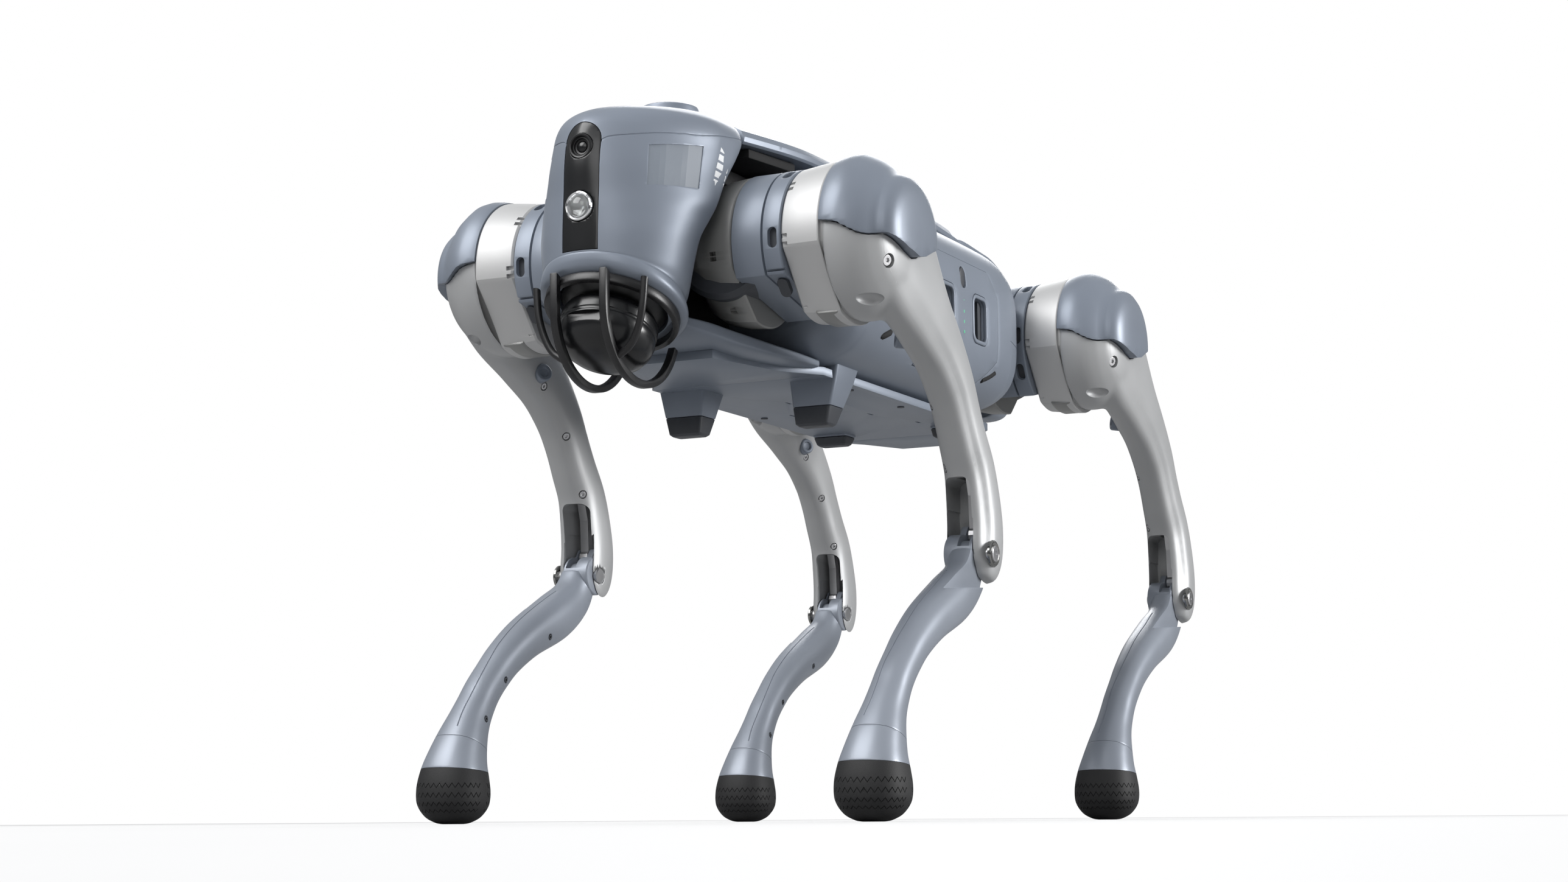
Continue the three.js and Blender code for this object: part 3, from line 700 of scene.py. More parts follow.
def half_space(name, plane, towards, gap=0.0):
    """A big block on one side of a plane."""
    point, normal = Vector(plane[0]), Vector(plane[1]).normalized()
    run = Vector((normal.z, 0, -normal.x))
    outline = []
    for along, across in ((-300, gap), (300, gap), (300, 500), (-300, 500)):
        spot = point + run * along + normal * (across * towards)
        outline.append((spot.x, spot.z))
    return prism(name, outline, "y", -60, 60)


def shin_solid(name):
    return skin(name, limb_rings(SHIN_ROWS, 150, 72, 2.3))


# Screws on the inner side of the calf: x, z and radius. The seam runs down the middle of its front.
CALF_SCREWS = [(-58, -223, 2.2), (-9, -253, 2.2), (15, -278, 2.2)]
SHIN_SEAM = [
    (-82, -2, -190), (-62, -1, -200), (-40, -1, -212), (-19, -1, -227), (-4, -2, -240), (8, -3, -251),
    (18, -3, -262), (27, -3, -273), (34, -4, -283),
]


# The lever at the top of the calf: its direction from the knee, its length and its radius.
LEVER_X = -0.574
LEVER_Z = 0.819
LEVER = 16
LEVER_R = 6


def from_knee(along, across=0):
    """A point along and across the lever."""
    return KNEE[0] + LEVER_X * along - LEVER_Z * across, KNEE[1] + LEVER_Z * along + LEVER_X * across


def build_calf():
    calf = shin_solid("calf")
    cut(calf, half_space("below", ANKLE_PLANE, 1, gap=-0.25))
    cut(calf, prism("cheek_room", LEDGE, "y", HUB_OUT + 0.2, 30))
    join(calf, at_knee("hub", [(12.2, -13), (13, -12.2), (13, HUB_OUT - 0.6), (12.4, HUB_OUT)], FINE))
    tip = from_knee(LEVER)
    lever = []
    for centre, start in ((KNEE, 235), (tip, 55)):
        for step in range(13):
            angle = radians(start + step * 15)
            lever.append((centre[0] + LEVER_R * cos(angle), centre[1] + LEVER_R * sin(angle)))
    join(calf, prism("lever", lever, "y", -8, HUB_OUT - 0.5))
    corners = ((-3, -30), (-3, 30), (40, 30), (40, -30))
    space = prism("space", [from_knee(*corner) for corner in corners], "y", -3.9, 3.9)
    cut(space, knee_rod(9, -6, 6, 48))
    cut(calf, space)
    join(calf, rod(2.4, -6, 6, "y", tip, 24))
    cut(calf, knee_rod(5.4, -30, 30))
    screws = []
    for x, z, radius in CALF_SCREWS:
        screws.append(sunk_screw(calf, "calf_screws", (x, -13, z), radius, 1.6))
    groove(calf, SHIN_SEAM, 0.5, 10)
    to_legs(together(screws), "calf_screws", "calf", DARK)
    to_legs(crisp(calf, angle=34, edge=0.3), "calf_skin", "calf", PALE, "calf")
    ankle = shin_solid("ankle")
    cut(ankle, half_space("above", ANKLE_PLANE, -1), half_space("below", FOOT_PLANE, 1, gap=-0.2))
    to_legs(crisp(ankle, angle=34, edge=0.3), "ankle_socket_skin", "calf", PALE, "ankle_socket")
    foot = shin_solid("foot")
    cut(foot, half_space("above", FOOT_PLANE, -1))
    for z in (-319, -325, -331, -337):
        for start in (-80, 100):
            arc = []
            for step in range(33):
                angle = radians(start + 5 * step)
                arc.append((31 + 24 * cos(angle), 24 * sin(angle), z + 1.5 * (-1) ** step))
            cut(foot, tube("tread", snapped(foot, arc), 0.45, 6))
    to_legs(crisp(foot, angle=34, edge=0.8), "foot_skin", "calf", RUBBER, "foot")


# How far inward of the leg the oval holes of the housing lie.
HIP_HOLE = -54.8


def build_hip_housing():
    """The blue-grey housing, with its inner motor casing as a second piece."""
    inner = 22 - LEG_Y
    split = -83.0
    profile = [
        (10, split + 0.4), (45.4, split + 0.4), (46.7, split + 1.2), (46.7, inner + 57.4),
        (44.2, inner + 57.7), (44.2, inner + 58.7), (46.9, inner + 59.0), (46.9, DRUM_IN - 1.4),
        (46.2, DRUM_IN - 0.7), (44, DRUM_IN - 0.5), (10, DRUM_IN - 0.5),
    ]
    housing = skin("hip_housing", drum_rings(profile, flat_from=radians(-30), flat_to=radians(-62) * 2))
    # Painted shade: dark inserts sit at the bottom of the oval holes to make them darker than the shade of
    # their depth alone.
    hole_shades = []
    for angle in (-3, -44, -150, 60, 120, 177):
        hole = slot_outline(HIP_HOLE, 0, 3.0, 6.2, 2.9)
        cut(housing, swung(prism("hole", hole, "x", 41.5, 60), angle))
        hole_shade_and_knob = slot_outline(HIP_HOLE, 0, 3.3, 6.5, 3.1)
        hole_shades.append(swung(prism("hip_hole_shade", hole_shade_and_knob, "x", 40, 43.4), angle))
    to_legs(crisp(together(hole_shades)), "hip_hole_shade", "hip", in_slot(DARK, "blue_grey"), hip=True)
    cut(housing, swung(block("gap", 44, 60, -61.4, -46, -0.8, 0.8), -27))
    crisp(housing, angle=24, edge=0.3)
    to_legs(housing, "hip_housing_skin", "hip", SHELL, "hip_housing", hip=True)
    profile = [
        (10, inner), (25, inner), (31, inner + 1.5), (37.5, inner + 6), (42.5, inner + 13.5),
        (45.2, inner + 24), (46.2, split - 0.8), (45.2, split), (10, split),
    ]
    rings = drum_rings(profile, flat_from=radians(-20), flat_to=radians(-75))
    casing = skin("hip_motor_casing", rings)
    ends = [(20, -46.5), (31, -46.5), (33, -44.5), (33, 30), (30, 33.5), (20, 34)]
    hub = crisp(turned("abduction_hub", ends, "x", (HIP_Y - LEG_Y, 0)), 28)
    to_legs(hub, "abduction_hub", "hip", DARK, hip=True)
    for angle in (-14, -10, -66, -62):
        cut(casing, swung(block("clip", 40, 60, inner + 22, inner + 26.5, -1.3, 1.3), angle))
    crisp(casing, angle=24, edge=0.3)
    to_legs(casing, "hip_motor_casing", "hip", BEIGE, hip=True)


# ---- head ----
# Rows are z, front x, widest x, rear x, half width, squareness of the rear and of the front, tilt.
HEAD_ROWS = [
    (298.5, 311, 274, 237, 41, 2, 2, 0.42), (300.5, 314, 274, 234, 43.8, 2, 2, 0.42),
    (303.5, 315, 274, 233, 44.5, 2, 2, 0.42), (308, 315, 274, 234, 43.4, 2, 2, 0.41),
    (311, 314.6, 274, 237, 42.6, 2.2, 1.95, 0.38), (320, 315, 269, 252, 45.5, 4, 1.9, 0.16),
    (338, 315, 262, 257, 49.3, 6, 1.9, 0), (352, 315, 256, 247, 51.6, 6, 1.8, 0),
    (363, 315, 250, 242, 53.8, 8, 1.7, 0), (380, 315, 247, 227, 52.8, 8, 1.65, 0),
    (395, 313, 242, 213, 52.8, 8, 1.6, 0), (406, 309, 238, 203, 52.8, 7, 1.6, 0),
    (414, 299, 234, 194, 50.2, 5, 1.7, 0), (419.3, 284, 224, 189, 45.8, 4, 1.8, 0),
    (424, 262, 216, 184, 38, 3, 2, 0), (426.8, 242, 208, 178, 27, 2.4, 2, 0),
]


def head_rings(grow=0.0, sides=160):
    out = []
    for z, front, widest, rear, half, rear_power, front_power, tilt in smooth(HEAD_ROWS, 170):
        angle = np.arange(sides) * 2 * pi / sides
        ahead = np.cos(angle)
        power = np.where(ahead > 0, front_power, rear_power)
        reach = np.where(ahead > 0, front - widest + grow, widest - rear + grow)
        ring = np.zeros((sides, 3))
        ring[:, 0] = widest + reach * rounded(ahead, power)
        ring[:, 1] = (half + grow) * rounded(np.sin(angle), power)
        ring[:, 2] = z + tilt * (ring[:, 0] - LIDAR_X)
        out.append(ring)
    return out


def face_outline(half, z0, z1):
    """The strip of the face, with a round top."""
    outline = [(-half, z0), (half, z0)]
    for step in range(19):
        angle = pi * step / 18
        outline.append((half * cos(angle), z1 - half + half * sin(angle)))
    return outline


def lean(obj):
    """Leans a piece of the sensor with the rim of the head."""
    centre = Matrix.Translation(((LIDAR_X + CENTRE_X) * MM, 0, RIM_Z * MM))
    obj.data.transform(centre @ Matrix.Rotation(-atan(RIM_TILT), 4, "Y") @ centre.inverted())
    return obj


def build_head():
    """The head, with its seams and panel recesses; returns the CAD head, which the marks are laid on."""
    head = skin("head_shell", head_rings())
    cut(head, prism("strip", face_outline(12, 326.6, 404.4), "x", 305, 340))
    cut(head, block("pocket", 170, 240, -42, 42, 372, 411.4))
    cut(head, block("lid_room", 150, 197, -47, 47, 411, 424.6))
    cut(head, lean(rod(33, 274, 314, "z", (LIDAR_X, 0))))
    for side in (1, -1):
        seam = [
            (312.5, 12.4, 391.6), (306.9, 15.3, 394.3), (296, 27, 396.8), (285.2, 35.4, 399),
            (271, 43, 400.8), (258.1, 49, 402.2), (240, 52.4, 405.4), (222, 52.4, 408.4),
            (208, 52, 411),
        ]
        groove(head, [(x, side * y, z) for x, y, z in seam], 0.4)
        recess = [(x, side * y, z) for x, y, z in PANEL]
        cut(head, decal("recess", head, recess, 10, 0.8, PANEL_DEPTH))
    mount(crisp(head, angle=34, edge=0.4), "trunk", SHELL, "head_shell")
    return frame["nodes"]["head_shell"]


def decal(name, target, corners, steps=5, lift=0.12, depth=0.25):
    """A thin patch laid on the surface of target, between four corners."""
    corners = np.array(corners, dtype=float)
    grid = []
    for row in range(steps + 1):
        for column in range(steps + 1):
            u, v = column / steps, row / steps
            low = corners[0] * (1 - u) + corners[1] * u
            high = corners[3] * (1 - u) + corners[2] * u
            grid.append(low * (1 - v) + high * v)
    front = snapped(target, grid, lift)
    back = snapped(target, grid, -depth)
    wide = steps + 1
    size = wide * wide
    faces = []
    for row in range(steps):
        for column in range(steps):
            first = row * wide + column
            square = (first, first + 1, first + wide + 1, first + wide)
            faces.append(square)
            faces.append(tuple(size + corner for corner in reversed(square)))
    rim = list(range(wide)) + [row * wide + steps for row in range(1, wide)]
    rim += [steps * wide + column for column in range(steps - 1, -1, -1)]
    rim += [row * wide for row in range(steps - 1, 0, -1)]
    for index, corner in enumerate(rim):
        after = rim[(index + 1) % len(rim)]
        faces.append((after, corner, size + corner, size + after))
    return piece(name, front + back, faces)


# The striped band at the rear of the head's side: its corners from the upper front, and the stripes.
BAND = [(238.2, 53, 400.0), (221.5, 53, 404.0), (237.2, 53, 372.4), (252.8, 53, 367.4)]
STRIPE_PITCH = 0.172
STRIPE = 0.12
STRIPE_SLANT = 0.16
# The blank recessed panel beside it.
PANEL = [(291, 33, 391), (256, 51, 396), (263.5, 52, 368.5), (295, 34, 366)]
PANEL_DEPTH = 0.7


def on_band(across, down):
    """A point of the band, by its share across and down."""
    corner = np.array(BAND)
    top = corner[0] * (1 - across) + corner[1] * across
    foot = corner[3] * (1 - across) + corner[2] * across
    return top * (1 - down) + foot * down


def build_head_marks(head):
    """Slanted stripes and a plain panel on each side, with no lettering."""
    stripes = []
    for row in range(5):
        front = STRIPE_PITCH * row
        rear = front + STRIPE_SLANT
        stripes.append(((0, front), (1, rear), (1, rear + STRIPE), (0, front + STRIPE)))
    stripes.append(((0.3, 0), (0.98, 0), (1, 0.10), (0.95, 0.09)))
    stripes.append(((0, 0.87), (0.1, 0.885), (0.72, 0.985), (0, 1)))
    for side, hand in SIDES:
        for number, corners in enumerate(stripes):
            band = [on_band(*corner) * (1, side, 1) for corner in corners]
            mount(decal(f"stripe_{hand}_{number}", head, band), "trunk", WHITE)
        panel = [(x, side * y, z) for x, y, z in PANEL]
        mount(decal(f"mark_panel_{hand}", head, panel, 10, -PANEL_DEPTH + 0.08), "trunk", MARK)


def build_face():
    panel = skin("face_panel_skin", head_rings(grow=-0.25))
    keep(panel, prism("strip", face_outline(11.6, 327, 404), "x", 305.4, 340))
    cut(panel, rod(7.9, 309, 330, "x", (0, LENS_Z)), rod(9.4, 308, 330, "x", (0, LAMP_Z)))
    mount(crisp(panel, angle=34, edge=0.3), "trunk", GLOSS_BLACK, "face_panel")
    barrel = [
        (0, 309.3), (7.6, 309.3), (7.6, 313.2), (7.0, 313.9), (6.2, 313.6), (5.6, 312.2), (4.9, 312.2),
        (4.5, 311.2), (3.6, 311.0), (3.2, 310.4), (0, 310.4),
    ]
    camera_tube = crisp(turned("camera_barrel", barrel, "x", (0, LENS_Z), 64), 25)
    mount(camera_tube, "trunk", in_slot(BLACK, "gloss_black"), "camera_lens")
    glass = [(0, 310.6), (3.3, 310.6), (3.1, 311.3), (2.2, 312.0), (0, 312.3)]
    mount(crisp(turned("camera_glass", glass, "x", (0, LENS_Z), 48)), "trunk", GLOSS_BLACK)
    ring = [
        (6.5, 309.5), (9.0, 309.5), (9.0, 314.6), (8.6, 315.5), (7.9, 315.9), (7.2, 315.5), (6.7, 314.6),
    ]
    mount(crisp(ring_solid("lamp_ring", ring, LAMP_Z)), "trunk", CHROME)
    bowl = [(2.2, 309.0), (3.6, 310.8), (5.4, 312.4), (6.6, 314.2), (6.6, 309.0)]
    mount(crisp(ring_solid("lamp_reflector", bowl, LAMP_Z)), "trunk", REFLECTOR)
    bulb = [(0, 309.0), (2.0, 309.0), (2.0, 310.6), (1.2, 311.6), (0, 311.9)]
    mount(crisp(turned("lamp_bulb", bulb, "x", (0, LAMP_Z), 40)), "trunk", in_slot(WHITE, "lamp"))
    dome = [(0, 314.4), (6.6, 314.4), (6.4, 315.6), (5.2, 317.0), (3.0, 318.1), (0, 318.5)]
    mount(crisp(turned("lamp_dome", dome, "x", (0, LAMP_Z), 64)), "trunk", CLEAR, "headlamp")
    puck = [
        (0, 424), (27, 424), (25, 426.2), (21.4, 427.8), (19.4, 429.8), (18.8, 432), (18.7, 434.8),
        (18.2, 436.2), (16.8, 436.9), (15, 437), (0, 437),
    ]
    mount(crisp(turned("top_puck_skin", puck, "z", (208, 0), 128)), "trunk", SHELL, "top_puck")


def ring_solid(name, section, z, sides=64):
    """A ring about the X axis; section rows are (radius, x) in order round the section."""
    count = len(section)
    points, faces = [], []
    for side in range(sides):
        angle = side * 2 * pi / sides
        for radius, x in section:
            points.append((x, radius * cos(angle), z + radius * sin(angle)))
    for side in range(sides):
        after = (side + 1) % sides
        for row in range(count):
            following = (row + 1) % count
            here, there = side * count, after * count
            faces.append((here + row, there + row, there + following, here + following))
    return piece(name, points, faces)


# ---- sensor and its basket ----
HOOP_Y = 16.5
HOOP_CENTRE = (271.5, 295.5)
HOOP_R = 44.0
HOOP_IN = 39.5
HOOP_HALF = 2.5
BRACE = [(301.5, 36.5, 312), (301.5, 35, 294), (300.5, 31.5, 281), (300, 26, 271.5), (300, 18, 266)]


def hoop_outline():
    """A U in the X-Z plane, open at the top."""
    cx, cz = HOOP_CENTRE
    angles = [pi * step / 40 for step in range(41)]
    outer = [(cx + HOOP_R * cos(a), cz - HOOP_R * sin(a)) for a in angles]
    inner = [(cx + HOOP_IN * cos(a), cz - HOOP_IN * sin(a)) for a in reversed(angles)]
    return [(cx + HOOP_R, 320)] + outer + inner + [(cx + HOOP_IN, 320)]


def below_rim():
    return lean(block("below", 180, 380, -60, 60, 200, 298.3))


def build_sensor():
    rings = []
    for radius, z in ((36.8, 293.2), (40, 293.2), (40.4, 294), (40.4, 298.4), (36.8, 298.4)):
        rings.append([(radius * cos(a), radius * sin(a), z) for a in np.arange(128) * pi / 64])
    ring = skin("guard_ring", rings)
    ring.data.transform(Matrix.Translation((LIDAR_X * MM, 0, 0)))
    cut(ring, rod(36.8, 280, 310, "z", (LIDAR_X, 0)))
    mount(crisp(lean(ring), 30, edge=0.3), "trunk", BLACK, "lidar_guard")
    for side, hand in SIDES:
        middle = side * HOOP_Y
        hoop = prism("guard_hoop_" + hand, hoop_outline(), "y", middle - HOOP_HALF, middle + HOOP_HALF)
        keep(hoop, below_rim())
        mount(crisp(hoop, edge=0.7), "trunk", BLACK)
        path = smooth([(x, side * y, z) for x, y, z in BRACE], 30)
        brace = tube("guard_brace_" + hand, path, 2.2, 12)
        keep(brace, below_rim())
        mount(crisp(brace), "trunk", BLACK)
    base = [(0, 294), (23, 294), (30, 298.6), (31.5, 300.4), (31.5, 312.6), (0, 312.6)]
    foot = lean(crisp(turned("sensor_base", base, "z", (LIDAR_X, 0)), 28))
    mount(foot, "trunk", BLACK, "lidar_base")
    drum = [
        (0, 263), (14, 263.6), (20, 265.6), (25, 269), (27.8, 273.4), (29, 278), (29, 281), (28.3, 281.5),
        (28.3, 283.1), (29, 283.6), (29, 289.4), (27.5, 292.6), (25, 293.6), (0, 293.6),
    ]
    rotor = turned("sensor_rotor", drum, "z", (LIDAR_X, 0), 128)
    cut(rotor, block("window", 300, 306, -12, 12, 274, 280))
    mount(crisp(lean(rotor), 24, edge=0.3), "lidar_rotor", GLOSS_BLACK, "lidar_rotor")


# ---- trunk ----
# Rows are x, half width, top and bottom; the trunk is widest at TRUNK_MIDDLE.
TRUNK_ROWS = [
    (-146, 60, 388, 312), (-145, 74, 395, 302), (-142, 84, 400, 294), (-134, 92, 405, 287.5),
    (-120, 95.4, 409, 284), (-100, 96.4, 411, 283), (0, 96.5, 411.5, 283), (100, 96.4, 411.5, 283),
    (122, 95.4, 411, 284), (134, 92, 409, 287), (142, 85, 404, 293), (146, 74, 396, 303),
]
TRUNK_MIDDLE = 347.0


def loft(rows, name, steps=60, power=4.0, top_power=None, middle=None, sides=96, grow=0.0):
    """A loft along X; rows are x, half width, top and bottom, and the powers give its squareness."""
    angle = np.arange(sides) * 2 * pi / sides
    above = np.sin(angle) > 0
    power = np.where(above, top_power or power, power)
    rings = []
    for x, half, top, bottom in smooth(rows, steps):
        centre = middle or (top + bottom) / 2
        ring = np.zeros((sides, 3))
        ring[:, 0] = x
        ring[:, 1] = (half + grow) * rounded(np.cos(angle), power)
        reach = np.where(above, top - centre, centre - bottom) + grow
        ring[:, 2] = centre + reach * rounded(np.sin(angle), power)
        rings.append(ring)
    return skin(name, rings)


def trunk_body(name, grow=0.0):
    """The trunk's body, squarer below than above."""
    return loft(TRUNK_ROWS, name, 90, 4.0, 3.0, TRUNK_MIDDLE, 160, grow)


def battery_outline(gap=0.0):
    x0, x1 = BATTERY["x0"] - gap, BATTERY["x1"] + gap
    z0, z1 = BATTERY["z0"] - gap, BATTERY["z1"] + gap
    return [(x1, z0), (x1, z1), (x0 + 12, z1), (x0, z1 - 17), (x0, z0 + 20), (x0 + 25, z0)]


def build_trunk():
    trunk = trunk_body("trunk_shell_skin")
    cut(trunk, prism("bay", battery_outline(0.5), "y", -59, 120))
    groove(trunk, [(146, 60, 380), (120, 96, 372), (80, 97, 368), (44, 97, 366)], 0.35)
    groove(trunk, [(-146, 70, 330), (-130, 96, 332), (-112, 97, 334)], 0.35)
    mount(crisp(trunk, angle=30, edge=0.5), "trunk", SHELL, "trunk_shell")
    # The slots on the trunk's sides are painted shade: near-black bars set into the skin stand in for the
    # shade inside the slots.
    slots = (
        ("side_slot_", [(-90, 307), (-82, 301), (-73, 294.5)], 6, 1.0, 2.1),
        ("hip_slot_", [(96, 300), (84, 308)], 4, 1.4, 2.6),
    )
    for side, hand in SIDES:
        for name, places, steps, thin, thick in slots:
            path = snapped(trunk, [(x, side * 97, z) for x, z in places], -0.9, steps)
            radii = [thin] + [thick] * (len(path) - 2) + [thin]
            mount(crisp(tube(name + hand, path, radii, 12)), "trunk", PAINTED_SHADE)
    # Painted shade: near-black blocks fill the gaps between the head, the chest, the top cover and the tail
    # cover, standing in for the shade there.
    shade_sheets = (
        (block("neck", 138, 258, -21.5, 21.5, 394, 404.4), 1.2),
        (block("chest_core", 140, 236, -8.5, 8.5, 286, 398), 1.2),
        (prism("canopy_shade_sheet", [(138, -52), (186, -44), (186, 44), (138, 52)], "z", 405.5, 411.3), 0.8),
        (block("tail_neck", -244, -138, -21.5, 21.5, 384, 401), 1.2),
    )
    for shade_sheet, edge in shade_sheets:
        mount(crisp(shade_sheet, edge=edge), "trunk", PAINTED_SHADE)


# Rows of the lid: x and half width.
LID_ROWS = [(-138, 46), (-128, 49), (-60, 55), (60, 59.4), (120, 60), (150, 57), (175, 51.5), (196, 46)]


def build_covers():
    rings = []
    for x, half in smooth(LID_ROWS, 60):
        fall = 3.0 * max(0.0, min(1.0, (-118 - x) / 20))
        section = [
            (0, 424 - fall), (half * 0.7, 424 - fall), (half * 0.86, 423 - fall),
            (half * 0.95, 420.6 - fall), (half, 416.5), (half, 413.4), (half - 1.5, 412), (0, 412),
        ]
        ring = [(x, y, z) for y, z in section] + [(x, -y, z) for y, z in section[-2:0:-1]]
        rings.append(ring)
    mount(crisp(skin("top_cover_skin", rings), 25, edge=0.4), "trunk", SHELL, "top_cover")
    roof = loft([
        (-138.4, 46, 420.6, 411), (-150, 47, 421.6, 410), (-180, 46.5, 420.6, 407), (-205, 46, 419, 404),
        (-240, 42, 414, 396), (-258, 39, 409, 385), (-267, 36, 403.5, 384), (-270, 32, 399, 387),
    ], "tail_cover_skin")
    back = loft([
        (-242, 33, 404, 303), (-244, 36, 406, 302), (-262, 36, 405, 302), (-268, 33.5, 401, 305),
        (-270, 29, 396, 310),
    ], "back", 40, 6.0)
    join(roof, back)
    cut(roof, block("room", -238, -120, -23, 23, 380, 401.5))
    for row in range(6):
        z = 322 + 9 * row
        cut(roof, tube("vent", [(-272, -20, z), (-272, 0, z), (-272, 20, z)], 3.2, 16))
    mount(crisp(roof, 30, edge=0.4), "trunk", SHELL, "tail_cover")


def build_belly():
    half = [(-206, 30), (-172, 46), (-150, 62), (120, 62), (146, 44), (208, 30)]
    outline = [(x, -y) for x, y in reversed(half)] + half
    pan = prism("belly_pan_skin", outline, "z", 278.0, 283.2)
    for x, y in ((-90, 34), (-40, 20), (-20, -30), (30, -8), (60, 26)):
        cut(pan, block("slot", x - 4, x + 4, y - 1, y + 1, 270, 280.5))
    for x in (118, -150):
        groove(pan, [(x, -60, 278), (x, 0, 278), (x, 60, 278)], 0.4)
    mount(crisp(pan, edge=1.2), "trunk", SHELL, "belly_pan")
    chest = loft([
        (126, 62, 288, 281), (150, 60, 289.5, 281), (180, 54, 292, 281), (206, 46, 295, 283),
        (224, 38, 298, 287), (236, 28, 300, 292),
    ], "chest_fairing", 50, 5.0)
    tray = [(130, 55, 320, 285), (180, 47, 320, 286), (206, 39, 320, 288), (226, 30, 320, 293)]
    cut(chest, loft(tray, "tray", 40, 5.0))
    mount(crisp(chest, edge=0.6), "trunk", SHELL)
    # Painted shade: a near-black floor in the chest tray stands in for the shade inside it.
    shade_sheet = [(130, 54.5, 287, 285.4), (180, 46.5, 288, 286.4), (206, 38.5, 290, 288.4)]
    shade_sheet.append((225, 29.5, 295, 293.4))
    mount(crisp(loft(shade_sheet, "chest_painted_shade", 40, 5.0)), "trunk", PAINTED_SHADE)
    for side, hand in SIDES:
        for x in (-20, 60):
            head = [(0, 277.3), (2.4, 277.3), (2.4, 279), (0, 279)]
            screw = turned(f"pan_screw_{hand}_{x + 100}", head, "z", (x, side * 52), 24)
            mount(crisp(screw), "trunk", DARK)


# Rows of a landing pad: height, rear and front x, inner and outer distance from the middle plane.
FRONT_POST = [(288, 75.5, 107.6, 30, 66), (277.6, 79, 107, 31, 64), (261.4, 86, 107, 33, 60)]
FRONT_TIP = [(261, 86.2, 107, 33.1, 59.9), (250.4, 91, 106.5, 34.5, 57.5), (249, 93, 104.5, 36, 56)]
REAR_POST = [(286, -131, -111, 31, 62), (277.6, -130, -112, 33, 60), (276.6, -129.5, -112, 33.2, 59.6)]
REAR_TIP = [
    (276.2, -129.4, -112, 33.3, 59.4), (271.2, -126, -113, 34.5, 57.5), (270, -124.5, -114.5, 36, 56),
]


def pad(name, rows, side):
    rings = []
    for z, x0, x1, inner, outer in rows:
        middle = side * (inner + outer) / 2
        outline = slot_outline(0, 0, (x1 - x0) / 2, (outer - inner) / 2, 2.2, 4)
        rings.append([((x0 + x1) / 2 + x, middle + y, z) for x, y in outline])
    return crisp(skin(name, rings), 24, edge=0.5)


def build_pads():
    for tag, (end, side) in LEGS.items():
        post, tip = (FRONT_POST, FRONT_TIP) if end > 0 else (REAR_POST, REAR_TIP)
        mount(pad("pad_post_" + tag, post, side), "trunk", SHELL)
        mount(pad("pad_sole_" + tag, tip, side), "trunk", DARK, "landing_pad_" + tag)


GRIP_Z = 339.5
BUTTON_Z = 364.5
FIRST_LIGHT = 348
LIGHT_PITCH = 7


def build_battery():
    pack = trunk_body("battery_pack_skin", 0.4)
    keep(pack, prism("bay", battery_outline(), "y", -58, 120))
    for x in GRIPS:
        cut(pack, prism("grip", slot_outline(x, GRIP_Z, 10.6, 14.6, 4.5), "y", 77, 120))
        cut(pack, prism("rim_room", slot_outline(x, GRIP_Z, 13.6, 17.4, 7), "y", 95.2, 120))
    middle = (GRIPS[0] + GRIPS[1]) / 2
    cut(pack, prism("button_room", slot_outline(middle, BUTTON_Z, 4.5, 7.5, 4.4, 12), "y", 91, 120))
    mount(crisp(pack, 30, edge=0.5), "battery", SHELL, "battery_pack")
    for x, place in zip(GRIPS, ("rear", "front")):
        rim = prism("grip_rim_" + place, slot_outline(x, GRIP_Z, 13.2, 17.0, 6.8), "y", 94.4, 97.4)
        cut(rim, prism("hole", slot_outline(x, GRIP_Z, 10.4, 14.2, 4.4), "y", 90, 99))
        mount(crisp(rim, 30, edge=0.9, segments=3), "battery", SHELL)
        # Painted shade: a near-black sheet at the back of each grip hole stands in for the shade inside the
        # hole.
        shade_sheet = prism("grip_shade_sheet_" + place, slot_outline(x, GRIP_Z, 10.2, 14.2, 4.3), "y", 77.3, 78.2)
        mount(crisp(shade_sheet), "battery", PAINTED_SHADE)
    for row in range(4):
        outline = slot_outline(middle, FIRST_LIGHT - LIGHT_PITCH * row, 0.7, 1.1, 0.65)
        mount(crisp(prism(f"charge_light_{row}", outline, "y", 95, 96.9)), "battery", GREEN)
    button = prism("power_button_skin", slot_outline(middle, BUTTON_Z, 3.9, 6.9, 3.8, 12), "y", 93.2, 95.9)
    mount(crisp(button, 30, edge=0.8, segments=3), "power_button", DARK, "power_button")


# ---- small pieces on the legs ----
KNOB_AT = (-45, -13, -52)
KNOB_OUT = (0.5, -0.86, 0.1)


def build_leg_details():
    """A knob on the inner side of the thigh, and the curved shield under the hip drum."""
    knob = [(0, -4), (6, -4), (6, 3.4), (5.2, 4.4), (3.2, 4.4), (3.0, 3.4), (0, 3.4)]
    hole_shade_and_knob = aimed(turned("cable_knob", knob, "z", (0, 0), 40), KNOB_AT, KNOB_OUT)
    to_legs(crisp(hole_shade_and_knob, 30, edge=0.4), "cable_knob", "thigh", SHELL)
    section = ((-40, 46.6), (-40, 48.4), (-38, 49.3), (-26, 49.3), (-24.4, 48.4), (-24.4, 46.6))
    rings = []
    for step in range(25):
        angle = radians(-128 + 62 * step / 24)
        rings.append([(radius * cos(angle), y, radius * sin(angle)) for y, radius in section])
    shield = crisp(skin("cable_shield", rings), 30, edge=0.6)
    to_legs(shield, "cable_shield", "hip", in_slot(BEIGE, "silver"))


# ---- studio ----
# Half the size of the floor in metres, and how much it glows for camera rays.
FLOOR_HALF = 5.0
FLOOR_GLOW = 0.45
